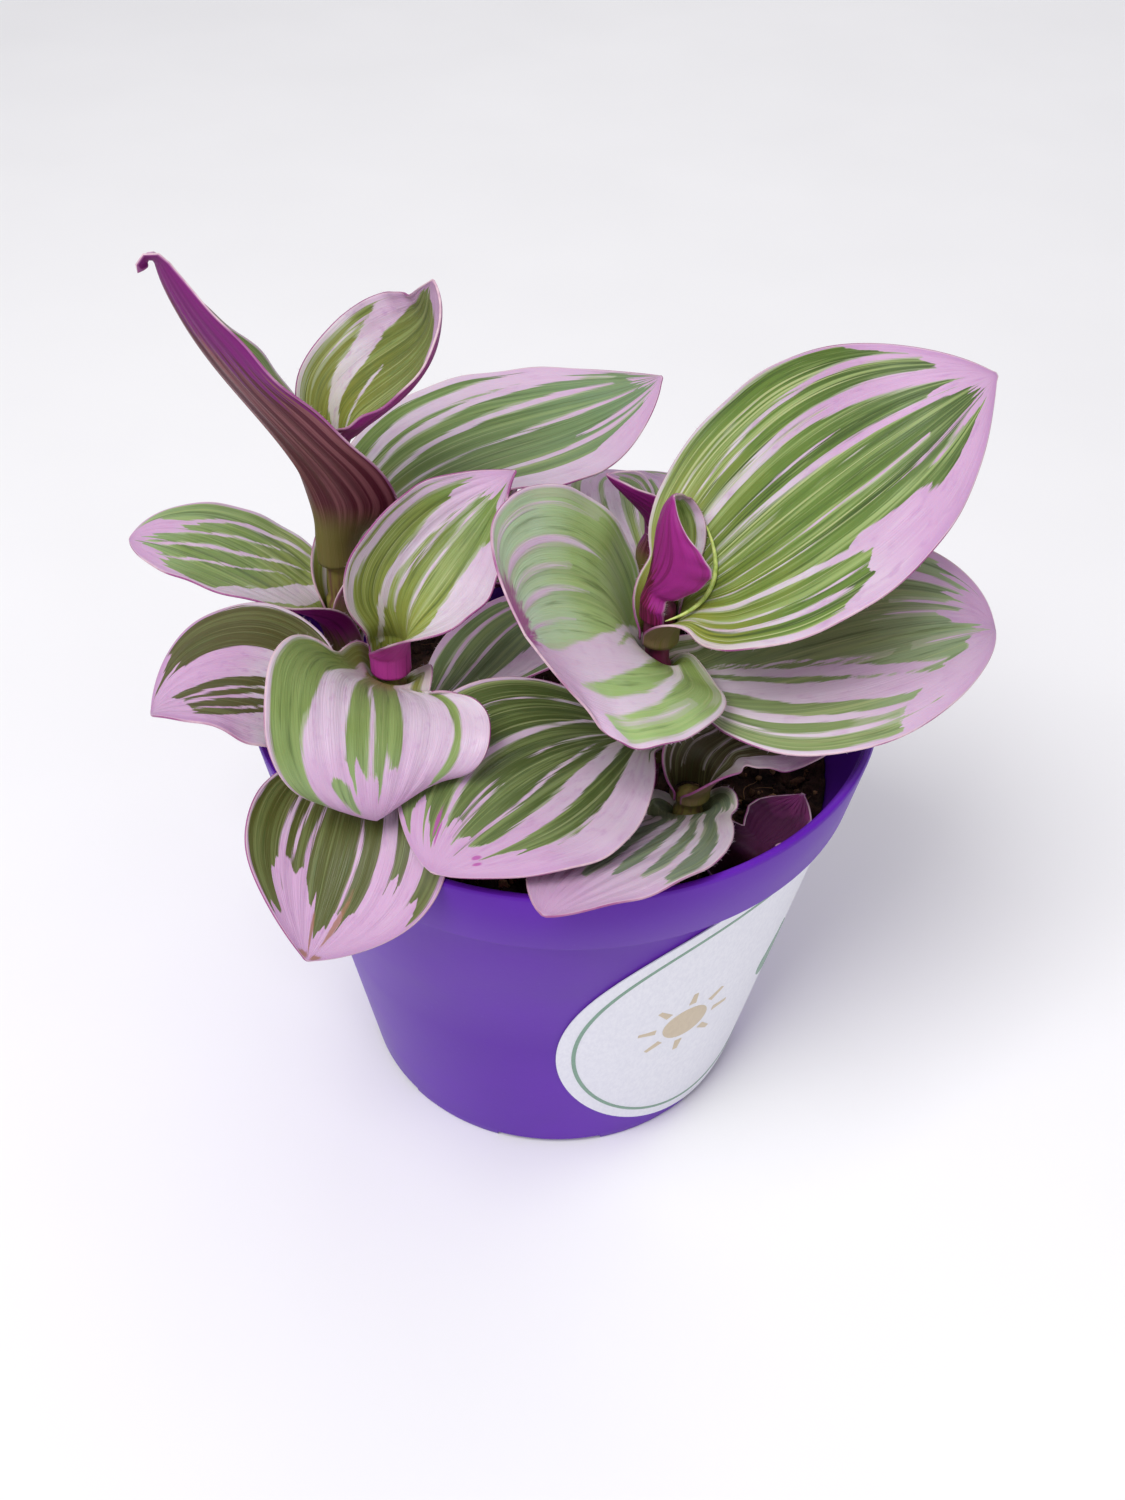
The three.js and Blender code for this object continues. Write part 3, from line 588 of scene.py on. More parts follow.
# The undersides that differ from the plain one, in the terms of leaf_under
UNDERSIDES = {
    "left_folded": dict(
        name="leaf_under_folded", seed=5.0, core=0.84, olive=0.1, side=0.7, bright=(116, 26, 106)
    ),
    "left_upright": dict(name="leaf_under_upright", seed=11.0, core=0.35, olive=-0.1),
    # The cupped leaf's underside is a lighter magenta than its own: painted light, since it lies in shade
    "middle_cupped": dict(
        name="leaf_under_cupped_painted_light", seed=7.0, core=-0.1, olive=-0.2, bright=(196, 66, 166), deep=(150, 44, 126)
    ),
    "right_large": dict(
        name="leaf_under_large", seed=13.0, core=0.25, olive=0.1, maroon=(74, 34, 46), mauve=(112, 60, 74)
    ),
    "right_rolled": dict(
        name="leaf_under_rolled", seed=9.0, core=0.42, olive=-0.3, bright=(150, 34, 126), deep=(112, 20, 84),
        maroon=(86, 16, 46), mauve=(134, 32, 92)
    ),
}

# Leaves whose margins have no hairs
HAIRLESS = ("low_shaded", "corner_dark")


def colour(rgb):
    """A colour socket's value from the 0 to 255 of a picture."""
    share = np.array(rgb, float) / 255
    linear = np.where(share <= 0.04045, share / 12.92, ((share + 0.055) / 1.055) ** 2.4)
    return (*linear.tolist(), 1.0)


def ease(x):
    """A smooth step from 0 to 1."""
    x = np.clip(x, 0.0, 1.0)
    return x * x * (3 - 2 * x)


def along(values, t):
    """The parabola that takes three values at the base, the middle and the tip."""
    base, middle, tip = values
    return base * (1 - t) * (1 - 2 * t) + 4 * middle * t * (1 - t) + tip * t * (2 * t - 1)


def spread(values, share):
    """Values at even steps, read at a share from 0 to 1 with smooth changes between them."""
    values = np.array(values, float)
    if len(values) == 1:
        return np.full_like(share, values[0])
    place = np.clip(share, 0, 1) * (len(values) - 1)
    step = np.minimum(place.astype(int), len(values) - 2)
    part = place - step
    if len(values) > 2:
        part = 0.5 * part + 0.5 * ease(part)
    return values[step] * (1 - part) + values[step + 1] * part


def unit(vectors):
    return vectors / np.maximum(np.linalg.norm(vectors, axis=-1, keepdims=True), 1e-12)


def polar(radius, heading, height):
    """Points on circles about the pot's axis."""
    return np.stack(np.broadcast_arrays(radius * np.cos(heading), radius * np.sin(heading), height), -1)


def ring_angles(sides):
    return np.arange(sides) * TURN / sides


def wall_radius(height):
    """The radius of the pot's outer wall, below the rim band."""
    return FOOT_RADIUS + (WALL_TOP_RADIUS - FOOT_RADIUS) * height / WALL_TOP


# Meshes


def new_mesh(name, points, faces):
    """A mesh from points in millimetres."""
    mesh = bpy.data.meshes.new(name)
    mesh.from_pydata((np.asarray(points) * MM).tolist(), [], [list(map(int, face)) for face in faces])
    return mesh


def new_object(name, data):
    made = bpy.data.objects.new(name, data)
    bpy.context.scene.collection.objects.link(made)
    return made


def new_piece(name, points, faces, materials, nodes, face_material=None, uv=None, values=None):
    """A smooth mesh piece. nodes are the CAD nodes that it stands for."""
    mesh = new_mesh(name, points, faces)
    for material in materials:
        mesh.materials.append(material)
    if face_material is not None:
        mesh.polygons.foreach_set("material_index", np.asarray(face_material, np.int32))
    mesh.polygons.foreach_set("use_smooth", np.ones(len(mesh.polygons), bool))
    if uv is not None:
        corner = np.zeros(len(mesh.loops), np.int32)
        mesh.loops.foreach_get("vertex_index", corner)
        mesh.uv_layers.new(name="leaf").data.foreach_set("uv", uv[corner].ravel())
    for key, value in (values or {}).items():
        mesh.attributes.new(key, "FLOAT", "POINT").data.foreach_set("value", value.astype(np.float32))
    mesh.update()
    piece = new_object(name, mesh)
    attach(piece, "root")
    if nodes:
        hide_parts(*nodes)
    return piece


def ring_faces(rings, sides, start=0):
    """Quads between rings of points that follow each other."""
    faces = []
    for first in range(start, start + (rings - 1) * sides, sides):
        for j in range(sides):
            a, b = first + j, first + (j + 1) % sides
            faces.append((a, b, b + sides, a + sides))
    return faces


def tube_faces(rings, sides, start=0):
    """Faces of a closed tube. The middle points of its two ends follow the points of its rings."""
    faces = ring_faces(rings, sides, start)
    first = start + rings * sides
    end = first - sides
    for j in range(sides):
        following = (j + 1) % sides
        faces.append((start + following, start + j, first))
        faces.append((end + j, end + following, first + 1))
    return faces


def tube(path, radii, sides, start=0):
    """Points and faces of a closed tube along a path, with a flat cap at each end."""
    direction = unit(np.gradient(path, axis=0))
    helper = np.where(np.abs(direction[:, 2:]) > 0.9, [[1.0, 0, 0]], [[0, 0, 1.0]])
    side = unit(np.cross(direction, helper))
    for i in range(1, len(side)):
        side[i] = unit(side[i - 1] - direction[i] * (side[i - 1] @ direction[i]))
    other = np.cross(direction, side)
    angle = ring_angles(sides)
    ring = side[:, None] * np.cos(angle)[None, :, None] + other[:, None] * np.sin(angle)[None, :, None]
    rings = path[:, None] + ring * radii[:, None, None]
    return [*rings.reshape(-1, 3), path[0], path[-1]], tube_faces(len(path), sides, start)


def turned(profile, sides):
    """Points and faces of a closed turned body whose profile starts and ends on the axis."""
    rings = [polar(radius, ring_angles(sides), height) for radius, height in profile[1:-1]]
    ends = [(0, 0, profile[0][1]), (0, 0, profile[-1][1])]
    return np.concatenate([*rings, ends]), tube_faces(len(rings), sides)


# Materials


class Nodes:
    """A material with short calls that add its nodes. Its colours are the 0 to 255 of a picture."""

    def __init__(self, name):
        self.material = bpy.data.materials.new(name)
        self.material.use_nodes = True
        self.tree = self.material.node_tree
        self.shader = self.tree.nodes["Principled BSDF"]

    def add(self, kind, inputs=(), **settings):
        node = self.tree.nodes.new("ShaderNode" + kind)
        for key, value in settings.items():
            setattr(node, key, value)
        for key, value in dict(inputs).items():
            self.put(node.inputs[key], value)
        return node

    def put(self, socket, value):
        if isinstance(value, bpy.types.NodeSocket):
            self.tree.links.new(value, socket)
        else:
            socket.default_value = colour(value) if socket.type == "RGBA" else value

    def surface(self, **inputs):
        """Sets the shader's sockets, with an underscore for each space in a name."""
        for key, value in inputs.items():
            self.put(self.shader.inputs[key.replace("_", " ")], value)

    def math(self, operation, a, b=0.0):
        return self.add("Math", {0: a, 1: b}, operation=operation).outputs[0]

    def plus(self, a, b):
        return self.math("ADD", a, b)

    def times(self, a, b):
        return self.math("MULTIPLY", a, b)

    def swing(self, noise, reach):
        """A noise moved to run about zero, and scaled."""
        return self.times(self.math("SUBTRACT", noise, 0.5), reach)

    def mix(self, share, a, b):
        return self.add("Mix", {0: share, 6: a, 7: b}, data_type="RGBA").outputs[2]

    def step(self, value, low, high, start=0.0, end=1.0):
        inputs = {"Value": value, "From Min": low, "From Max": high, "To Min": start, "To Max": end}
        return self.add("MapRange", inputs, interpolation_type="SMOOTHSTEP").outputs[0]

    def coat(self, under, value, low, high, share, over):
        """A colour over another, which grows to a share of it while a value goes from low to high."""
        return self.mix(self.step(value, low, high, 0.0, share), under, over)

    def ramp(self, share, stops):
        node = self.add("ValToRGB", {"Fac": share})
        elements = node.color_ramp.elements
        while len(elements) < len(stops):
            elements.new(0.5)
        for element, (place, rgb) in zip(elements, stops):
            element.position = place
            element.color = colour(rgb)
        return node.outputs["Color"]

    def stretch(self, vector, scale, shift=(0, 0, 0)):
        return self.add("Mapping", {"Vector": vector, "Scale": scale, "Location": shift}).outputs[0]

    def noise(self, vector, scale=1.0, detail=2.0, roughness=0.5):
        inputs = {"Vector": vector, "Scale": scale, "Detail": detail, "Roughness": roughness}
        return self.add("TexNoise", inputs).outputs["Fac"]

    def place(self):
        """The point in the object's own frame, in metres."""
        return self.add("TexCoord").outputs["Object"]

    def stored(self, name):
        """A value that the mesh stores at each point."""
        return self.add("Attribute", attribute_name=name).outputs["Fac"]

    def bump(self, height, distance, strength=0.5):
        inputs = {"Height": height, "Distance": distance, "Strength": strength}
        return self.add("Bump", inputs).outputs["Normal"]


class LeafNodes(Nodes):
    """The material of one side of a leaf, with the leaf's coordinates and the noises along it."""

    def __init__(self, name, seed, streak_scale, line_noise, fine_noise):
        super().__init__(name)
        self.seed = seed
        self.uv = self.add("UVMap", uv_map="leaf").outputs["UV"]
        split = self.add("SeparateXYZ", {0: self.uv})
        self.u, self.v = split.outputs[0], split.outputs[1]
        self.streaks = self.stretch(self.uv, (46, 3.2, 1), (seed * 7.3, seed * 1.9, seed))
        self.streak = self.noise(self.streaks, streak_scale, 3.0, 0.6)
        self.lines = self.cells(*line_noise, roughness=0.6)
        self.fine = self.cells(*fine_noise)
        self.margin = self.stored("margin")

    def cells(self, counts, shift, detail=2.0, roughness=0.5):
        """Noise with so many cells across the blade and along it, moved by shares of the leaf's seed."""
        shift = [share * self.seed for share in shift]
        return self.noise(self.stretch(self.uv, (*counts, 1), shift), 1.0, detail, roughness)


def leaf_green(skin, drift, greens, lime, grey, contrast):
    """The green from the base to the far end, with lighter and darker lines along it."""
    base, body, far = greens
    hairline = skin.cells((74, 0.7), (1.3, 6.1, 0), 1.0)
    hairline = skin.math("SUBTRACT", hairline, skin.step(skin.v, 0.45, 0.85, 0.0, 0.1))
    coats = (
        (skin.lines, 0.5, 0.66, 0.8 * contrast, LIGHT_GREEN),
        (skin.lines, 0.46, 0.3, contrast, SHADE_GREEN),
        (skin.streak, 0.52, 0.72, min(0.6, 2.5 * contrast), SHADE_GREEN),
        (skin.fine, 0.55, 0.75, min(0.45, 0.7 * contrast), LIGHT_GREEN),
        (hairline, 0.58, 0.68, 0.8 * contrast, HAIRLINE),
    )
    green = skin.ramp(drift, [(0.02, base), (lime, body), (max(grey, lime + 0.05), body), (1.0, far)])
    for coat in coats:
        green = skin.coat(green, *coat)
    return green


def leaf_pale(skin, drift, fleck, pink):
    """The cream of the base, which turns lilac and pink towards the tip and rose at the margin."""
    pale = skin.ramp(drift, [(0.0, CREAM), (0.3, LILAC), (1.15 - pink * 0.6, PINK), (1.0, PINK)])
    pale = skin.coat(pale, skin.noise(skin.streaks, 0.6, 3.0), 0.45, 0.75, 0.45 * pink + 0.1, PINK)
    pale = skin.coat(pale, skin.fine, 0.5, 0.8, 0.35, LILAC)
    pale = skin.coat(pale, fleck, 0.5, 0.72, 0.12 + 0.45 * pink, ROSE)
    near = skin.step(skin.plus(skin.margin, skin.times(fleck, 2.5)), 3.4, 1.2)
    blush = skin.times(near, skin.step(skin.v, 0.35, 0.8, 0.1, 1.0))
    return skin.mix(skin.times(blush, 0.7 * pink), pale, ROSE)


def leaf_mark(skin, surface, fleck, place, reach, rgb):
    """A ragged spot at a place in u and v."""
    across, lengthwise = (
        skin.math("DIVIDE", skin.math("SUBTRACT", value, middle), size)
        for value, middle, size in zip((skin.u, skin.v), place, reach)
    )
    offset = skin.add("CombineXYZ", {0: across, 1: lengthwise}).outputs[0]
    gap = skin.add("VectorMath", {0: offset}, operation="LENGTH").outputs["Value"]
    return skin.coat(surface, skin.plus(gap, skin.times(fleck, 1.6)), 1.9, 1.3, 0.85, rgb)


def leaf_upper(
    name, seed, greens=GREENS, lime=0.35, grey=0.55, pink=0.6, painted_shade=0.0, contrast=0.6, half=0.8, soft=0.0,
    shine=0.35, marks=()
):
    """The striped upper face. greens are the colours of the base, the body and the far end, lime is how
    far up the base's colour reaches, grey how far down the far end's does, pink how strong the pink is,
    dim the strength of the painted shade, and contrast how strongly light and dark lines alternate. half is
    the width in millimetres of the faded green beside the pale parts, soft the blur of their border,
    shine the strength of the skin's gloss, and marks are spots: u and v, their reach in both, colour."""
    skin = LeafNodes(name, seed, 1.0, ((34, 0.9), (3.7, 1, 2.1)), ((150, 7), (1, 3.1, 0)))
    cloud = skin.cells((3, 4), (5.7, 0, 1))
    fleck = skin.cells((26, 15), (1, 2.9, 0), 3.0, 0.6)
    drift = skin.plus(skin.v, skin.swing(cloud, 0.5))
    green = leaf_green(skin, drift, greens, lime, grey, contrast)
    pale = leaf_pale(skin, drift, fleck, pink)

    wander = skin.plus(skin.swing(skin.fine, 0.8), skin.swing(skin.streak, 1.1))
    field = skin.plus(skin.stored("pale"), wander)
    cover = skin.noise(skin.stretch(skin.uv, (15, 1.7, 1), (seed, seed * 4.1, 2.0)))
    faded = skin.plus(field, skin.step(cover, 0.42, 0.64, 0.0, half))
    green = skin.coat(green, faded, 0.1, 0.4, 0.6, HALF_GREEN)
    surface = skin.coat(green, field, -0.16 - soft, 0.14 + soft, 1.0, pale)
    for place, reach, rgb in marks:
        surface = leaf_mark(skin, surface, fleck, place, reach, rgb)
    rim = skin.plus(skin.margin, skin.times(skin.fine, 0.15))
    surface = skin.coat(surface, rim, 0.28, 0.1, 0.6, MARGIN_CREAM)
    # Painted shade: the leaf's colour is darkened towards a dark tone
    if painted_shade:
        surface = skin.mix(painted_shade, surface, PAINTED_SHADE_TONE)
    skin.surface(Base_Color=surface, Roughness=skin.step(cloud, 0.2, 0.8, 0.38, 0.52))
    skin.surface(Subsurface_Weight=0.08, Subsurface_Scale=0.0006, Specular_IOR_Level=shine)
    grooves = skin.plus(skin.fine, skin.plus(skin.streak, skin.lines))
    skin.surface(Normal=skin.bump(grooves, 0.00022, 0.4))
    return skin.material


def leaf_under(
    name, seed, core=0.3, olive=0.03, side=1.1, bright=MAGENTA, deep=PURPLE, maroon=MAROON, mauve=MAUVE
):
    """The magenta underside. core is how far its maroon and mauve middle reaches towards the tip, olive
    how far the green of the sheath does, and side how much sooner the magenta starts at the margins.
    bright and deep are the two tones of the magenta, maroon and mauve those of the middle."""
    skin = LeafNodes(name, seed, 0.8, ((30, 0.8), (2.7, 1, 0)), ((120, 6), (1, 2.3, 0)))
    middle = skin.math("ABSOLUTE", skin.math("SUBTRACT", skin.u, 0.5))
    reach = skin.plus(skin.plus(skin.times(middle, side), skin.v), skin.swing(skin.streak, 0.7))
    brown = skin.coat(maroon, skin.lines, 0.4, 0.62, 1.0, mauve)
    brown = skin.coat(brown, skin.streak, 0.5, 0.7, 0.7, maroon)
    magenta = skin.coat(bright, skin.lines, 0.5, 0.3, 0.7, deep)
    surface = skin.coat(brown, reach, core, core + 0.06, 1.0, magenta)
    surface = skin.coat(surface, skin.v, olive + 0.08, olive - 0.06, 0.85, OLIVE)
    surface = skin.coat(surface, skin.margin, 0.3, 0.1, 0.6, MARGIN_PINK)
    skin.surface(Base_Color=surface, Roughness=0.48, Subsurface_Weight=0.06, Subsurface_Scale=0.0006)
    skin.surface(Specular_IOR_Level=0.25, Normal=skin.bump(skin.plus(skin.fine, skin.lines), 0.0002, 0.35))
    return skin.material


def leaf_edge():
    """The thin margin between the two faces."""
    nodes = Nodes("leaf_margin")
    place = nodes.place()
    surface = nodes.coat((212, 182, 192), nodes.noise(place, 60.0), 0.42, 0.56, 1.0, (150, 72, 130))
    surface = nodes.coat(surface, nodes.noise(place, 900.0), 0.4, 0.7, 0.4, (168, 110, 150))
    nodes.surface(Base_Color=surface, Roughness=0.45)
    return nodes.material


def hair_material():
    """The pale hairs of a leaf's margin."""
    nodes = Nodes("leaf_hair")
    surface = nodes.mix(nodes.noise(nodes.place(), 400.0), (232, 222, 226), (206, 176, 200))
    nodes.surface(Base_Color=surface, Roughness=0.5)
    return nodes.material


def stem_material(name, skin, streaks, bloom):
    """A stem's skin with darker streaks along it and a paler bloom."""
    nodes = Nodes(name)
    place = nodes.place()
    streak = nodes.noise(nodes.stretch(place, (900, 900, 60)), 1.0, 3.0)
    surface = nodes.coat(skin, streak, 0.42, 0.68, 1.0, streaks)
    surface = nodes.coat(surface, nodes.noise(place, 90.0), 0.5, 0.75, 0.6, bloom)
    nodes.surface(Base_Color=surface, Roughness=0.4, Subsurface_Weight=0.08, Subsurface_Scale=0.001)
    nodes.surface(Normal=nodes.bump(streak, 0.0002, 0.3))
    return nodes.material


def pot_material():
    """Violet moulded plastic with a satin skin, faint flow marks and a fine grain."""
    nodes = Nodes("pot_plastic")
    place = nodes.place()
    flow = nodes.noise(nodes.stretch(place, (22, 22, 34)), 1.0, 3.0)
    grain = nodes.noise(place, 1500.0)
    surface = nodes.coat((88, 24, 160), flow, 0.3, 0.7, 1.0, (98, 32, 172))
    surface = nodes.coat(surface, grain, 0.66, 0.8, 0.12, (132, 98, 200))
    nodes.surface(Base_Color=surface, Roughness=nodes.step(flow, 0.3, 0.8, 0.34, 0.44))
    nodes.surface(Subsurface_Weight=0.05, Subsurface_Scale=0.001, Specular_IOR_Level=0.18)
    nodes.surface(Normal=nodes.bump(grain, 0.00003, 0.25))
    return nodes.material


def paper_material(name, rgb, soft):
    """Coated label paper or its print, with a fibre grain."""
    nodes = Nodes(name)
    place = nodes.place()
    fibre = nodes.noise(nodes.stretch(place, (1600, 1600, 700)), 1.0, 3.0, 0.65)
    surface = nodes.coat(rgb, fibre, 0.3, 0.7, 1.0, soft)
    surface = nodes.coat(surface, nodes.noise(place, 60.0), 0.4, 0.8, 0.3, soft)
    nodes.surface(Base_Color=surface, Roughness=nodes.step(fibre, 0.3, 0.7, 0.34, 0.46))
    nodes.surface(Normal=nodes.bump(fibre, 0.00004, 0.3))
    return nodes.material


def peat_material(name, dark, light):
    """Peat: dark crumbs with lighter grains and a rough surface."""
    nodes = Nodes(name)
    place = nodes.place()
    clod = nodes.noise(place, 260.0, 5.0, 0.7)
    grain = nodes.noise(place, 1700.0, 3.0, 0.6)
    surface = nodes.coat(dark, clod, 0.35, 0.7, 1.0, light)
    surface = nodes.coat(surface, grain, 0.62, 0.8, 0.6, (118, 92, 66))
    nodes.surface(Base_Color=surface, Roughness=0.95, Specular_IOR_Level=0.2)
    nodes.surface(Normal=nodes.bump(nodes.plus(clod, nodes.times(grain, 0.5)), 0.0008, 0.8))
    return nodes.material


# Leaves


def shoot_of(name):
    """The shoot that a leaf stands on, from the first word of its name."""
    return name.split("_")[0]


def blade_frame(leaf, s):
    """Directions of the midrib, the blade's left side and its upper face at distances s along it."""
    sheath, length = leaf["sheath"], leaf["length"]
    opening = UNFOLD_REACH * leaf["open"] * length
    t = np.clip((s - sheath) / length, 0, 1)
    bend = ease((s - BEND_START * sheath) / ((1 - BEND_START) * sheath + opening))[:, None]
    opened = ease((s - UNFOLD_START * sheath) / ((1 - UNFOLD_START) * sheath + opening))
    heading, rise, roll = (np.radians(along(leaf[key], t)) for key in ("heading", "rise", "roll"))
    hook, hook_share = leaf["hook"]
    rise = rise + math.radians(hook) * ease((t - 1 + hook_share) / hook_share)
    blade = np.stack([np.cos(rise) * np.cos(heading), np.cos(rise) * np.sin(heading), np.sin(rise)], -1)
    level = np.stack([-np.sin(heading), np.cos(heading), 0 * heading], -1)
    side = level * np.cos(roll)[:, None] + np.cross(blade, level) * np.sin(roll)[:, None]
    forward = unit(UP * (1 - bend) + blade * bend)
    side = unit(side - (side * forward).sum(-1, keepdims=True) * forward)
    return t, opened, forward, side, np.cross(forward, side)


def half_width(leaf, t):
    """Half the blade's width along it, which joins the sheath's half width at the mouth."""
    wrapped = math.radians(leaf["wrap"]) * SHEATH_RADIUS
    inside = np.clip(t, 1e-9, 1 - 1e-9)
    bow = np.sin(np.pi * inside ** (math.log(0.5) / math.log(leaf["widest"]))) ** leaf["blunt"]
    blade = np.where((t > 0) & (t < 1), leaf["width"] / 2 * bow, 0)
    opened = ease(t / MOUTH_REACH)
    joined = np.cbrt(wrapped ** 3 * (1 - opened) + blade ** 3 * opened)
    return np.where(t < 0.5, joined, np.maximum(blade, leaf["tip"]))


def leaf_surface(name, leaf, rows, half_columns):
    """The middle surface as a grid of points, with v and the half width of each row."""
    shoot = SHOOTS[shoot_of(name)]
    total = leaf["sheath"] + leaf["length"]
    s = np.linspace(0, total, rows * LEAF_STEPS + 1)
    t, opened, forward, side, up = blade_frame(leaf, s)
    middle = np.zeros_like(forward)
    middle[0] = np.array([shoot["x"], shoot["y"], leaf["foot"]]) - up[0] * SHEATH_RADIUS
    stride = (forward[1:] + forward[:-1]) / 2 * total / (len(s) - 1)
    middle[1:] = middle[0] + np.cumsum(stride, 0)
    s, t, opened, forward, side, up, middle = (
        values[::LEAF_STEPS] for values in (s, t, opened, forward, side, up, middle)
    )
    half = half_width(leaf, t)
    parts = 4
    share = np.linspace(0, 1, half_columns * parts + 1)
    centre = (share[1:] + share[:-1]) / 2
    back = (ease(t / LOBE_REACH) * (1 - t) ** 2 * leaf["lobe"])[:, None] * share[::parts] ** 2
    stride = (half / (half_columns * parts))[:, None]
    halves = []
    for sign, cup in ((-1, "cup_right"), (1, "cup_left")):
        curl = np.radians(leaf["wrap"] * (1 - opened) + along(leaf[cup], t) * opened)
        angle = np.radians(leaf["keel"]) * opened[:, None] + curl[:, None] * centre
        out, lift = (
            np.hstack([np.zeros((len(half), 1)), np.cumsum(turn(angle) * stride, 1)])[:, ::parts, None]
            for turn in (np.cos, np.sin)
        )
        points = middle[:, None] + side[:, None] * (sign * out) + up[:, None] * lift
        halves.append(points - forward[:, None] * back[..., None])
    grid = np.concatenate([halves[0][:, :0:-1], halves[1]], 1)
    return grid, (s - leaf["sheath"]) / leaf["length"], half


def surface_normals(grid):
    return unit(np.cross(np.gradient(grid, axis=0), np.gradient(grid, axis=1)))


def plain_stripes(rng):
    """The ends of the green and the pale bands of a leaf that the photograph doesn't show."""
    bands = []
    for middle in np.arange(0.14, 0.95, 0.12) + rng.uniform(-0.03, 0.03, 7):
        width = rng.choice([0.02, 0.03, 0.05, 0.09])
        lean = (middle - 0.5) * 0.08
        last = rng.uniform(0.75, 1.0)
        bands.append((0, last, (middle - lean, middle + lean), (width, width * 1.3)))
    return (0.04, 0.06, rng.uniform(0.72, 0.95, 9)), bands


def pale_field(name, u, v, half, length, rng):
    """How far, in millimetres, each point lies inside the pale parts. Below zero is green."""
    if name in GREEN_ENDS:
        (right, left, ends), pale_bands = GREEN_ENDS[name], PALE_BANDS[name]
    else:
        (right, left, ends), pale_bands = plain_stripes(rng)
    width = 2 * half[:, None] + 0 * u
    teeth_at = np.sort(rng.uniform(0, 1, TOOTH_COUNT))
    ragged = TEETH.get(name, 1) * (0.14 * rng.random(TOOTH_COUNT) ** 2 - 0.045)
    teeth = np.interp(u, teeth_at, ragged)

    def inside(first, last, middles, widths):
        share = (v - first) / (last - first)
        from_first = share if first > 0 else 1.0
        from_last = 1 - share if last < 1 else 1.0
        taper = np.clip(np.minimum(from_first, from_last) * 6, 0, 1) ** 0.6
        depth = spread(widths, share) / 2 * taper - np.abs(u - spread(middles, share))
        return np.minimum(depth * width, np.minimum(v - first + 0.02, last - v + teeth * 0.6) * length)

    field = (v - spread(ends, u) - teeth) * length
    field = np.maximum(field, np.maximum(right - u, u - 1 + left) * width)
    for band in pale_bands:
        field = np.maximum(field, inside(*band))
    for band in GREEN_BANDS.get(name, ()):
        field = np.minimum(field, -inside(*band))
    return np.clip(field, -FIELD_LIMIT, FIELD_LIMIT)


def leaf_relief(u, v, rng):
    """Height of the pleats between the main veins, the groove of the midrib and the margin's waves."""
    across = 2 * u - 1
    fade = ease((v - 0.06) / 0.2) * (1 - ease((v - 0.75) / 0.25))
    pleats = PLEAT_HEIGHT * np.cos(TURN * PLEAT_COUNT * across) * (1 - np.abs(across) ** 3)
    groove = -GROOVE_DEPTH * np.exp(-((across / GROOVE_WIDTH) ** 2)) * ease((1 - v) / 0.4)
    waves = 0
    for _ in range(WAVE_COUNT):
        phase = rng.uniform(0, TURN, 2)
        side = np.where(across > 0, phase[0], phase[1])
        waves = waves + WAVE_HEIGHT * np.sin(TURN * rng.uniform(2, 6) * v + side)
    return fade * (pleats + groove + waves * across ** 4)


def margin_hairs(grid, up, rng, start, count):
    """Short hairs along both margins of the lower blade, each a slim three-sided cone."""
    points, faces = [], []
    rows, columns = grid.shape[:2]
    for _ in range(count):
        row = int(rows * (0.1 + 0.55 * rng.random() ** 1.6))
        column, inner = ((0, 1), (columns - 1, columns - 2))[rng.integers(2)]
        root = grid[row, column]
        outward = unit(root - grid[row, inner])
        lean = unit(outward + up[row, column] * rng.uniform(-0.2, 0.6) + rng.normal(0, 0.25, 3))
        tip = root + lean * rng.uniform(*HAIR_LENGTHS)
        side = unit(np.cross(lean, UP))
        ring = [side * math.cos(angle) + np.cross(lean, side) * math.sin(angle) for angle in ring_angles(3)]
        a = start + len(points)
        points += [root - lean * HAIR_ROOT + HAIR_RADIUS * corner for corner in ring] + [tip]
        faces += [(a, a + 1, a + 3), (a + 1, a + 2, a + 3), (a + 2, a, a + 3), (a + 2, a + 1, a)]
    return points, faces


def blade_faces(rows, columns):
    """Faces of the upper side, the lower side and the rounded margin, whose points follow each other.
    With them come the points round the edge of a side, and for each the next one inwards."""
    at = np.arange(rows * columns).reshape(rows, columns)
    upper = np.stack([at[:-1, :-1], at[1:, :-1], at[1:, 1:], at[:-1, 1:]], -1).reshape(-1, 4)
    lower = upper[:, ::-1] + rows * columns
    rim = np.concatenate([at[0, :-1], at[:-1, -1], at[-1, :0:-1], at[:0:-1, 0]])
    inner = np.concatenate([at[1, :-1], at[:-1, -2], at[-2, :0:-1], at[:0:-1, 1]])
    ring = 2 * rows * columns + np.arange(len(rim))
    following, ring_following = np.roll(rim, -1), np.roll(ring, -1)
    above = np.stack([rim, following, ring_following, ring], -1)
    below = np.stack([ring, ring_following, following + rows * columns, rim + rows * columns], -1)
    return (upper, lower, np.concatenate([above, below])), rim, inner


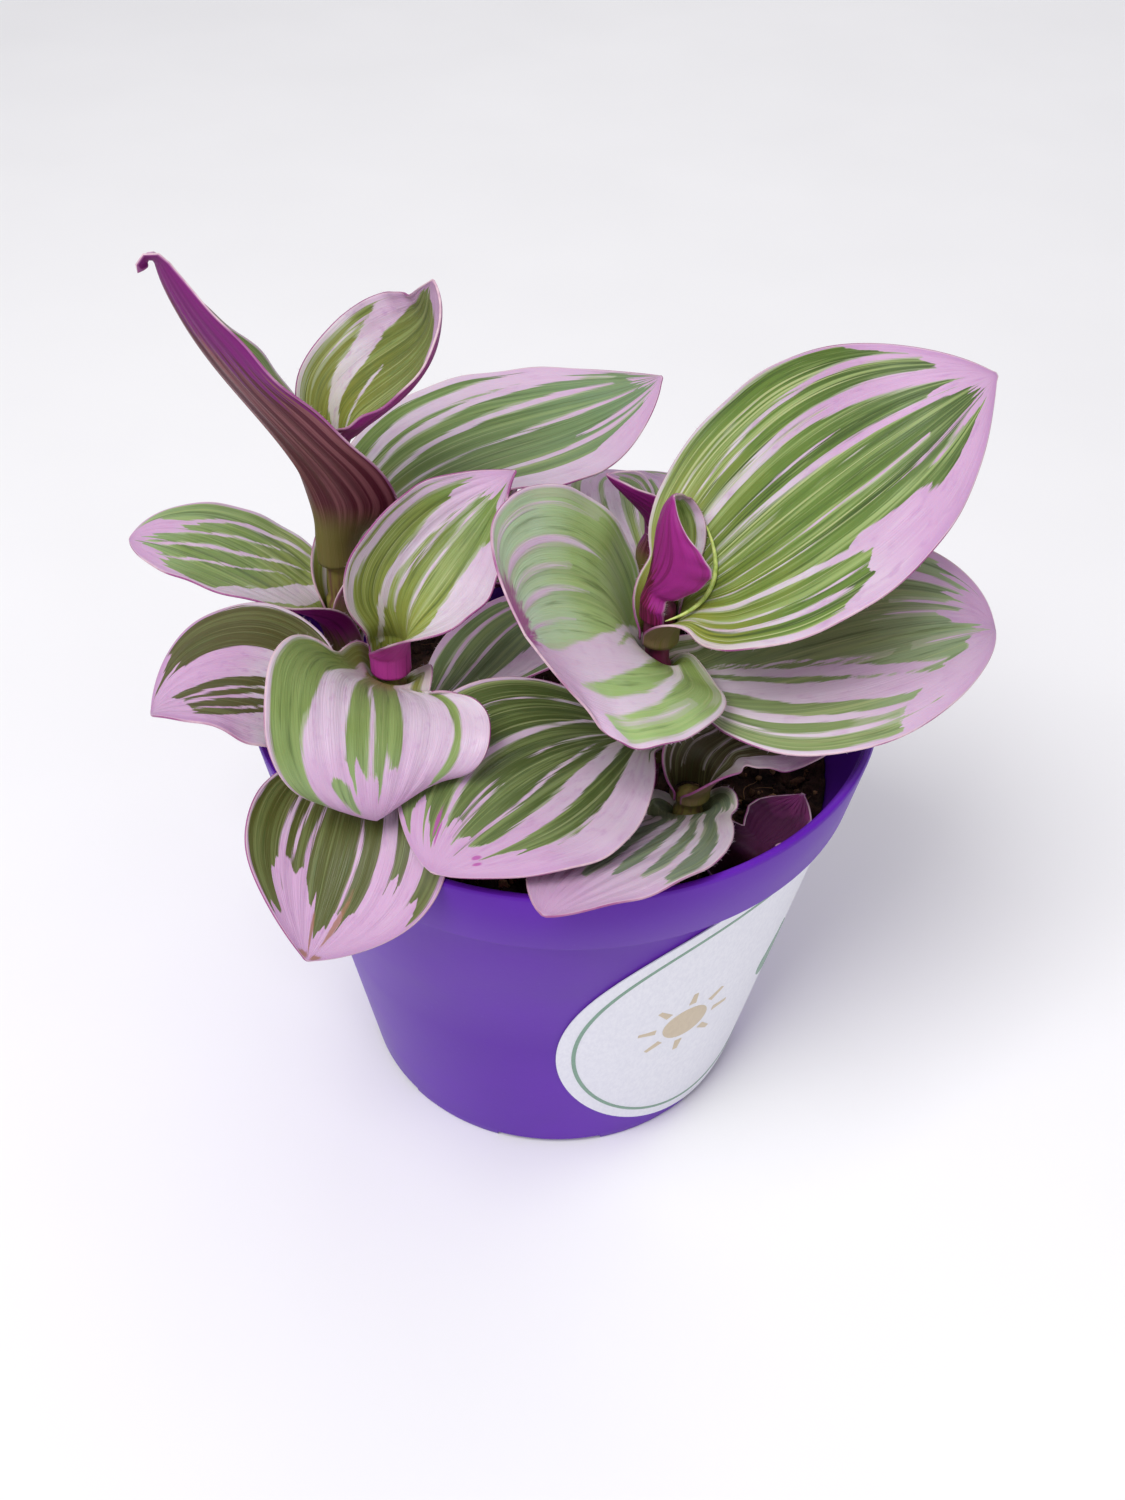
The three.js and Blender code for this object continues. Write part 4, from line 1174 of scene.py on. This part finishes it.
def make_leaf(name, materials, grid_size, hairs, seed):
    """A closed blade with its sheath: two faces, a rounded margin between them, and hairs."""
    rng = np.random.default_rng(seed)
    leaf = {**LEAF_DEFAULTS, **LEAVES[name]}
    middle, t, half = leaf_surface(name, leaf, *grid_size)
    rows, columns = middle.shape[:2]
    u = np.tile(np.linspace(0, 1, columns), (rows, 1))
    v = np.tile(t[:, None], (1, columns))
    middle = middle + surface_normals(middle) * leaf_relief(u, v, rng)[..., None]
    up = surface_normals(middle)
    thin = np.maximum(np.abs(2 * u - 1) ** 4, ease((v - 0.9) / 0.1))[..., None]
    thickness = up * (HALF_THICKNESS + (MARGIN_HALF_THICKNESS - HALF_THICKNESS) * thin)
    faces, rim, inner = blade_faces(rows, columns)
    flat = middle.reshape(-1, 3)
    ring = flat[rim] + unit(flat[rim] - flat[inner]) * MARGIN_ROUNDING
    points = [*(middle + thickness).reshape(-1, 3), *(middle - thickness).reshape(-1, 3), *ring]
    hair_points, hair_faces = margin_hairs(middle, up, rng, len(points), hairs)
    points += hair_points
    parts = (*faces, hair_faces)
    face_material = np.repeat(range(4), [len(part) for part in parts])

    field = pale_field(name, u, v, half, leaf["length"], rng)
    margin = np.minimum(np.minimum(u, 1 - u) * 2 * half[:, None], np.clip(1 - v, 0, 1) * leaf["length"])
    rest = np.zeros(len(points) - 2 * rows * columns)
    values = {
        key: np.concatenate([value.ravel(), value.ravel(), rest])
        for key, value in (("pale", field), ("margin", margin))
    }
    side = np.stack([u.ravel(), v.ravel()], -1)
    uv = np.concatenate([side, side, side[rim], np.zeros((len(hair_points), 2))])
    return new_piece(
        f"leaf_{name}_blade", points, [face for part in parts for face in part], materials,
        [f"leaf_{name}"], face_material, uv, values
    )


def make_leaves():
    """All the leaves, in a fixed order, since each draws from a seed of its own."""
    edge, hair = leaf_edge(), hair_material()
    plain_under = leaf_under("leaf_under", 3.0)
    blades = []
    for index, (name, leaf) in enumerate(LEAVES.items()):
        shown = name in SKINS
        upper = leaf_upper(f"leaf_{name}_face", index + 1.0, **SKINS.get(name, {}))
        under = leaf_under(**UNDERSIDES[name]) if name in UNDERSIDES else plain_under
        grid_size = FINE_GRID if shown and leaf["length"] > FINE_LENGTH else PLAIN_GRID
        hairs = HAIRS_SHOWN if shown else HAIRS_HIDDEN
        if name in HAIRLESS:
            hairs = 0
        blades.append(make_leaf(name, [upper, under, edge, hair], grid_size, hairs, LEAF_SEED + index))
    return blades


def make_young_edge():
    """The pale free margin of the youngest leaf, which shows beside the rolled one."""
    start, bulge, end = np.array(YOUNG_EDGE)
    share = np.linspace(0, 1, YOUNG_EDGE_STEPS)[:, None]
    path = start * (1 - share) ** 2 + bulge * 2 * share * (1 - share) + end * share ** 2
    radii = YOUNG_EDGE_RADIUS + YOUNG_EDGE_SWELL * np.sin(np.pi * share[:, 0]) ** 0.6
    points, faces = tube(path, radii, YOUNG_EDGE_SIDES)
    material = stem_material("leaf_young", (196, 208, 116), (150, 176, 74), (214, 220, 150))
    new_piece("leaf_right_young_edge", points, faces, [material], [])


# Stems


def make_stem(name, material):
    """A fleshy stem that swells at each leaf's foot."""
    shoot = SHOOTS[name]
    top = shoot["top"]
    heights = np.linspace(STEM_FOOT, top, max(24, int((top - STEM_FOOT) / STEM_STEP)))
    radii = np.full_like(heights, STEM_RADIUS)
    for foot in [leaf["foot"] for leaf_name, leaf in LEAVES.items() if shoot_of(leaf_name) == name]:
        risen = ease((heights - foot + NODE_BELOW) / NODE_SHOULDER)
        fallen = ease((heights - foot - NODE_ABOVE) / NODE_SHOULDER)
        radii = np.maximum(radii, STEM_RADIUS + (NODE_RADIUS - STEM_RADIUS) * risen * (1 - fallen))
    radii *= np.sqrt(np.clip((top - heights) / STEM_ROUNDING, 0.02, 1))
    points, faces = tube(heights[:, None] * UP, radii, STEM_SIDES)
    points = np.array(points) + [shoot["x"], shoot["y"], 0]
    new_piece(f"stem_{name}_stalk", points, faces, [material], [f"stem_{name}"])


def make_stems():
    """The stems, of which the right one is wine red."""
    olive = stem_material("stem_skin", (134, 124, 64), (104, 66, 56), (150, 156, 92))
    wine = stem_material("stem_wine", (112, 34, 72), (76, 22, 50), (134, 60, 96))
    for name in SHOOTS:
        make_stem(name, wine if name == "right" else olive)


# Pot


def pot_profile():
    """The pot's section as radius and height, with rounded corners and two fine lines in the lip."""
    channel_outer = FOOT_RADIUS - FOOT_RING
    inner_floor = CHANNEL_RISE + FLOOR
    rim_inner = RIM_RADIUS - WALL
    return [
        (0, 0), (DISC_RADIUS, 0), (DISC_RADIUS + 1, CHANNEL_RISE), (channel_outer - 0.6, CHANNEL_RISE),
        (channel_outer, 0), (FOOT_RADIUS - 0.5, 0), (FOOT_RADIUS - 0.15, 0.12), (wall_radius(0.6), 0.6),
        (wall_radius(NOTCH_HEIGHT + 1), NOTCH_HEIGHT + 1),
        (wall_radius(WALL_TOP / 2), WALL_TOP / 2), (WALL_TOP_RADIUS - 0.05, WALL_TOP - 0.5),
        (WALL_TOP_RADIUS + 0.35, WALL_TOP - 0.08), (BAND_FOOT_RADIUS - 0.5, WALL_TOP + 0.08),
        (BAND_FOOT_RADIUS - 0.12, WALL_TOP + 0.22), (BAND_FOOT_RADIUS + 0.05, WALL_TOP + 0.55),
        (RIM_RADIUS - 0.12, POT_HEIGHT - 0.75), (RIM_RADIUS - 0.16, POT_HEIGHT - 0.35),
        (RIM_RADIUS - 0.32, POT_HEIGHT - 0.08), (RIM_RADIUS - 0.55, POT_HEIGHT),
        (rim_inner + 0.2, POT_HEIGHT), (rim_inner, POT_HEIGHT - 0.12), (rim_inner - 0.12, POT_HEIGHT - 0.5),
        (rim_inner - 0.5, POT_HEIGHT - 0.75), (rim_inner - 0.55, POT_HEIGHT - 1.5),
        (rim_inner - 0.72, POT_HEIGHT - 1.8), (BAND_FOOT_RADIUS - WALL, WALL_TOP + 1.8),
        (WALL_TOP_RADIUS - WALL, WALL_TOP - 0.6), (wall_radius(inner_floor) - WALL, inner_floor),
        (DISC_RADIUS - 0.6, inner_floor), (DISC_RADIUS - 1.4, FLOOR), (0, FLOOR),
    ]


def drain_cutters():
    """The drain holes in the channel."""
    circle_radius = (DISC_RADIUS + FOOT_RADIUS - FOOT_RING) / 2
    top = CHANNEL_RISE + FLOOR + CUT_ROOM
    profile = [(0, -CUT_ROOM), (DRAIN_RADIUS, -CUT_ROOM), (DRAIN_RADIUS, top), (0, top)]
    points, faces = turned(profile, DRAIN_SIDES)
    headings = ring_angles(DRAIN_COUNT) + math.pi / DRAIN_COUNT
    return [(points + polar(circle_radius, heading, 0), faces) for heading in headings]


def notch_cutters():
    """The notches in the foot ring, each a block across it."""
    corners = np.array([(x, y, z) for x in (-1, 1) for y in (-1, 1) for z in (-1, 1)])
    faces = [(0, 1, 3, 2), (4, 6, 7, 5), (0, 4, 5, 1), (2, 3, 7, 6), (0, 2, 6, 4), (1, 5, 7, 3)]
    corners = corners * [FOOT_RING + NOTCH_ROOM, NOTCH_WIDTH / 2, NOTCH_HEIGHT] + [FOOT_RADIUS, 0, 0]
    cutters = []
    for heading in ring_angles(NOTCH_COUNT) - math.pi / 2:
        turn = [polar(1, heading, 0), polar(1, heading + math.pi / 2, 0), UP]
        cutters.append((corners @ turn, faces))
    return cutters


def make_pot():
    """The shell, with the drain holes and the notches cut out of it."""
    points, faces = turned(pot_profile(), POT_SIDES)
    pot = new_piece("pot_shell", points, faces, [pot_material()], ["pot"])
    for form in drain_cutters() + notch_cutters():
        tool = new_object("cutter", new_mesh("cutter", *form))
        cut = pot.modifiers.new("cut", "BOOLEAN")
        cut.operation = "DIFFERENCE"
        cut.solver = "EXACT"
        cut.object = tool
        with bpy.context.temp_override(object=pot, active_object=pot):
            bpy.ops.object.modifier_apply(modifier=cut.name)
        bpy.data.objects.remove(tool)
    pot.data.set_sharp_from_angle(angle=POT_CREASE)


# Label


def on_wall(flat, lift):
    """Points of the unrolled wall, across and up from the label's middle, bent round the pot."""
    taper = math.atan((WALL_TOP_RADIUS - FOOT_RADIUS) / WALL_TOP)
    turn = math.sin(taper)
    reach = wall_radius(LABEL_HEIGHT) / turn + flat[:, 1]
    slant = np.hypot(flat[:, 0], reach)
    heading = math.radians(LABEL_HEADING) + np.arctan2(flat[:, 0], reach) / turn
    height = (slant * turn - FOOT_RADIUS) / math.tan(taper)
    return polar(slant * turn + lift * math.cos(taper), heading, height - lift * math.sin(taper))


def wall_patch(outline, rings, low, high, start):
    """A thin closed plate on the wall, from an outline round its own middle."""
    centre = outline.mean(0)
    flat = [centre + (outline - centre) * ring / rings for ring in range(1, rings + 1)]
    points = [on_wall(ring, low) for ring in flat] + [on_wall(ring, high) for ring in flat[::-1]]
    points += [on_wall(centre[None], low), on_wall(centre[None], high)]
    return np.concatenate(points), tube_faces(2 * rings, len(outline), start)


def wall_ring(inner, outer, low, high, start):
    """A closed flat ring on the wall between two outlines with the same number of points."""
    corners = ((inner, low), (outer, low), (outer, high), (inner, high))
    points = np.concatenate([on_wall(outline, lift) for outline, lift in corners])
    faces = ring_faces(len(corners) + 1, len(inner))
    return points, [[start + i % len(points) for i in face] for face in faces]


def circle(place, radius, sides):
    angle = ring_angles(sides)
    return np.array(place) + radius * np.stack([np.cos(angle), np.sin(angle)], -1)


def drop(place, radius, sides):
    """A water drop: a circle drawn out to a point at the top."""
    angle = ring_angles(sides)
    point = np.clip(np.sin(angle), 0, 1) ** 6
    outline = np.stack([np.cos(angle) * (1 - 0.55 * point), np.sin(angle) + 0.9 * point], -1)
    return np.array(place) + radius * outline


def ray(place, heading):
    """A ray of the sun, which narrows outwards."""
    outward = np.array([math.cos(heading), math.sin(heading)])
    sideways = np.array([-outward[1], outward[0]])
    near, far = RAY_REACH
    tip = RAY_HALF_WIDTH * RAY_TAPER
    corners = [(near, -RAY_HALF_WIDTH), (far, -tip), (far, tip), (near, RAY_HALF_WIDTH)]
    return np.array([place + outward * out + sideways * aside for out, aside in corners])


def make_label():
    """A plain round sticker with a ring, a sun and a drop, the usual signs for light and water."""
    paper = paper_material("label_paper", (232, 232, 240), (224, 224, 234))
    sage = paper_material("label_print", (112, 148, 128), (124, 158, 138))
    sand = paper_material("label_sun", (196, 178, 150), (206, 190, 164))
    top = LABEL_LIFT + LABEL_THICKNESS
    printed = (top - PRINT_DEPTH, top + PRINT_THICKNESS)
    rays = [ray(SUN_PLACE, heading) for heading in ring_angles(SUN_RAYS)]
    parts = [
        (wall_patch, circle((0, 0), LABEL_RADIUS, LABEL_SIDES), LABEL_RINGS, (LABEL_LIFT, top), paper),
        (wall_ring, *(circle((0, 0), radius, LABEL_SIDES) for radius in PRINT_RING), printed, sage),
        (wall_patch, circle(SUN_PLACE, SUN_RADIUS, SUN_SIDES), 3, printed, sand),
        *((wall_patch, outline, 1, printed, sand) for outline in rays),
        (wall_patch, drop(DROP_PLACE, DROP_RADIUS, DROP_SIDES), 4, printed, sage),
    ]
    materials = [paper, sage, sand]
    points, faces, face_material = [], [], []
    for build, outline, form, lifts, material in parts:
        new_points, new_faces = build(outline, form, *lifts, len(points))
        points += list(new_points)
        faces += new_faces
        face_material += [materials.index(material)] * len(new_faces)
    label = new_piece("label_sticker", points, faces, materials, ["label"], face_material)
    label.data.set_sharp_from_angle(angle=LABEL_CREASE)


# Soil


def soil_radius(height):
    """The soil's radius, just clear of the wall."""
    return wall_radius(height) - WALL - SOIL_CLEARANCE


def soil_height(x, y):
    """The top of the soil: the CAD model's uneven surface."""
    waves = np.sin(0.31 * x + 1.3) * np.cos(0.27 * y) + np.sin(0.53 * y - 0.2 * x)
    share = np.hypot(x, y) / soil_radius(SOIL_EDGE)
    return SOIL_TOP + (SOIL_EDGE - SOIL_TOP) * share ** 2 - SOIL_RELIEF * (2 + waves) / 4


def low_points(pieces):
    """Points of the leaves near the soil, in millimetres."""
    found = []
    for piece in pieces:
        points = np.zeros(3 * len(piece.data.vertices))
        piece.data.vertices.foreach_get("co", points)
        points = points.reshape(-1, 3) / MM
        found.append(points[points[:, 2] < SOIL_EDGE + LEAF_CLEARANCE])
    return np.concatenate(found)


def touches(place, reach, points):
    return bool((np.linalg.norm(points - place, axis=1) < reach).any())


def make_soil(peat, leaf_points):
    """The filling, with a finely broken top that stays below the leaves."""
    rng = np.random.default_rng(SOIL_SEED)
    bottom = CHANNEL_RISE + FLOOR + SOIL_CLEARANCE
    edge = soil_radius(SOIL_EDGE)
    profile = [(0, bottom), (soil_radius(bottom), bottom)]
    profile += [(edge * (1 - i / SOIL_RINGS), SOIL_EDGE) for i in range(SOIL_RINGS + 1)]
    points, faces = turned(profile, SOIL_SIDES)
    top = points[:, 2] > SOIL_EDGE - 0.01
    x, y = points[top, 0], points[top, 1]
    height = np.zeros(len(x))
    for rate, size in SOIL_WAVES:
        for _ in range(SOIL_WAVE_COUNT):
            heading, phase = rng.uniform(0, TURN, 2)
            height += size * np.sin(rate * (x * math.cos(heading) + y * math.sin(heading)) * 2 + phase) / 2
    height += rng.normal(0, SOIL_GRIT, len(x))
    height = soil_height(x, y) + height - SOIL_DROP
    tree = KDTree(len(leaf_points))
    for index, point in enumerate(leaf_points):
        tree.insert((point[0], point[1], 0), index)
    tree.balance()
    for index, place in enumerate(zip(x, y)):
        above = [leaf_points[found[1], 2] for found in tree.find_range((*place, 0), SOIL_REACH)]
        if above:
            height[index] = min(height[index], min(above) - SOIL_GAP)
    points[top, 2] = height
    new_piece("soil_bed", points, faces, [peat], ["soil"])


def round_ball():
    """Points and faces of an icosahedron whose faces are each split in four and rounded."""
    ratio = (1 + math.sqrt(5)) / 2
    corners = [
        (-1, ratio, 0), (1, ratio, 0), (-1, -ratio, 0), (1, -ratio, 0), (0, -1, ratio), (0, 1, ratio),
        (0, -1, -ratio), (0, 1, -ratio), (ratio, 0, -1), (ratio, 0, 1), (-ratio, 0, -1), (-ratio, 0, 1),
    ]
    faces = [
        (0, 11, 5), (0, 5, 1), (0, 1, 7), (0, 7, 10), (0, 10, 11), (1, 5, 9), (5, 11, 4), (11, 10, 2),
        (10, 7, 6), (7, 1, 8), (3, 9, 4), (3, 4, 2), (3, 2, 6), (3, 6, 8), (3, 8, 9), (4, 9, 5),
        (2, 4, 11), (6, 2, 10), (8, 6, 7), (9, 8, 1),
    ]
    points = [unit(np.array(corner, float)) for corner in corners]
    middles, finer = {}, []

    def between(i, j):
        key = (min(i, j), max(i, j))
        if key not in middles:
            middles[key] = len(points)
            points.append(unit(points[i] + points[j]))
        return middles[key]

    for a, b, c in faces:
        ab, bc, ca = between(a, b), between(b, c), between(c, a)
        finer += [(a, ab, ca), (b, bc, ab), (c, ca, bc), (ab, bc, ca)]
    return np.array(points), np.array(finer)


def lump(ball, rng, size):
    """An irregular crumb: a ball with pushed points, stretched and turned."""
    pushed = ball * (1 + rng.normal(0, CRUMB_ROUGHNESS, (len(ball), 1)))
    stretch = size * rng.uniform(*CRUMB_STRETCH, 3)
    turn = np.linalg.qr(rng.normal(size=(3, 3)))[0]
    turn[:, 0] *= np.sign(np.linalg.det(turn))
    return (pushed * stretch) @ turn.T


def soil_spot(rng):
    """A place on the soil that is clear of the wall, the stems and the sheaths."""
    edge = soil_radius(SOIL_EDGE) - CRUMB_EDGE_GAP
    while True:
        x, y = rng.uniform(-edge, edge, 2)
        clear = all(math.hypot(x - s["x"], y - s["y"]) > STEM_CLEARANCE for s in SHOOTS.values())
        if math.hypot(x, y) < edge and clear:
            return x, y


def make_crumbs(materials, leaf_points):
    """Crumbs of peat that lie on the soil, clear of the leaves."""
    rng = np.random.default_rng(CRUMB_SEED)
    ball, ball_faces = round_ball()
    points, faces, face_material = [], [], []
    for _ in range(CRUMB_COUNT):
        x, y = soil_spot(rng)
        size = CRUMB_SIZE + CRUMB_GROWTH * rng.random() ** 3
        shape = lump(ball, rng, size)
        place = np.array([x, y, soil_height(x, y) + size * CRUMB_RISE])
        if touches(place, size * CRUMB_REACH + CRUMB_CLEARANCE, leaf_points):
            continue
        faces += list(ball_faces + len(points))
        points += list(shape + place)
        face_material += [int(rng.choice([0, 0, 0, 1, 1, 2]))] * len(ball_faces)
    new_piece("soil_crumbs", points, faces, materials, [], face_material)


def make_fibres(materials, leaf_points):
    """Fine peat fibres that lie curled on the crumbs, clear of the leaves."""
    rng = np.random.default_rng(FIBRE_SEED)
    share = np.linspace(0, 1, FIBRE_STEPS)
    points, faces, face_material = [], [], []
    for _ in range(FIBRE_COUNT):
        x, y = soil_spot(rng)
        length = rng.uniform(*FIBRE_LENGTHS)
        heading = rng.uniform(0, TURN)
        bend = rng.uniform(-FIBRE_BEND, FIBRE_BEND)
        headings = heading + bend * length * share + 0.4 * np.sin(share * rng.uniform(4, 9))
        xs = x + np.cumsum(np.cos(headings)) * length / FIBRE_STEPS
        ys = y + np.cumsum(np.sin(headings)) * length / FIBRE_STEPS
        if np.hypot(xs, ys).max() > soil_radius(SOIL_EDGE) - FIBRE_EDGE_GAP:
            continue
        curl = FIBRE_CURL * np.sin(share * rng.uniform(3, 8) + rng.uniform(0, 6))
        path = np.stack([xs, ys, soil_height(xs, ys) + FIBRE_LIFT + curl], -1)
        if any(touches(place, FIBRE_CLEARANCE, leaf_points) for place in path):
            continue
        radii = rng.uniform(*FIBRE_RADII) * (1 - 0.6 * share)
        new_points, new_faces = tube(path, radii, FIBRE_SIDES, len(points))
        points += new_points
        faces += new_faces
        face_material += [int(rng.integers(len(materials)))] * len(new_faces)
    new_piece("soil_fibres", points, faces, materials, [], face_material)


def make_ground(blades):
    """The soil with its crumbs and fibres."""
    peat = peat_material("peat", (30, 22, 19), (76, 56, 43))
    bark = peat_material("peat_brown", (66, 46, 32), (116, 88, 60))
    straw = peat_material("peat_fibre", (132, 100, 68), (172, 140, 100))
    leaf_points = low_points(blades)
    make_soil(peat, leaf_points)
    make_crumbs([peat, bark, straw], leaf_points)
    make_fibres([bark, straw], leaf_points)


# Scene


def make_floor():
    """A wide pale floor with a faint mottle."""
    corners = [(x * FLOOR_REACH, y * FLOOR_REACH, 0) for x, y in ((-1, -1), (1, -1), (1, 1), (-1, 1))]
    mesh = new_mesh("floor", corners, [(0, 1, 2, 3)])
    nodes = Nodes("floor")
    mottle = nodes.noise(nodes.place(), 14.0)
    nodes.surface(Base_Color=nodes.mix(mottle, (240, 239, 240), (246, 245, 246)), Roughness=0.9)
    mesh.materials.append(nodes.material)
    new_object("floor", mesh)


def set_place(thing, right, above, back, place):
    """Turns an object that looks away from back, and puts it at a place in metres."""
    matrix = np.eye(4)
    matrix[:3] = np.stack([right, above, back, place], 1)
    thing.matrix_world = Matrix(matrix.tolist())


def make_camera():
    """The photograph's view: from the front and above, with a slight roll."""
    camera = bpy.data.cameras.new("camera")
    camera.sensor_fit = "AUTO"
    camera.sensor_width = SENSOR_WIDTH
    camera.lens = SENSOR_WIDTH * FOCAL_PIXELS / PHOTO_HEIGHT
    camera.clip_start = 0.01
    elevation, roll = math.radians(CAMERA_ELEVATION), math.radians(CAMERA_ROLL)
    back = np.array([0, -math.cos(elevation), math.sin(elevation)])
    level = np.array([1.0, 0, 0])
    upright = np.cross(back, level)
    right = math.cos(roll) * level - math.sin(roll) * upright
    above = math.sin(roll) * level + math.cos(roll) * upright
    holder = new_object("camera", camera)
    set_place(holder, right, above, back, (UP * CAMERA_AIM + back * CAMERA_DISTANCE) * MM)
    bpy.context.scene.camera = holder


def make_light(name, place, size, power):
    """A square soft light that faces the plant."""
    light = bpy.data.lights.new(name, "AREA")
    light.size = size
    light.energy = power
    back = unit(place - UP * LIGHT_AIM)
    right = unit(np.cross(UP, back))
    set_place(new_object(name, light), right, np.cross(back, right), back, place)


def make_lights():
    """Three lights, and an even glow from all sides."""
    for name, light in LIGHTS.items():
        make_light(name, *light)
    world = bpy.data.worlds.new("studio")
    world.use_nodes = True
    background = world.node_tree.nodes["Background"]
    background.inputs["Color"].default_value = colour(WORLD_COLOUR)
    background.inputs["Strength"].default_value = WORLD_STRENGTH
    bpy.context.scene.world = world
    bpy.context.scene.view_settings.view_transform = "Standard"


def main():
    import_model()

    blades = make_leaves()
    make_stems()
    make_young_edge()
    make_pot()
    make_label()
    make_ground(blades)
    make_floor()
    make_camera()
    make_lights()


main()
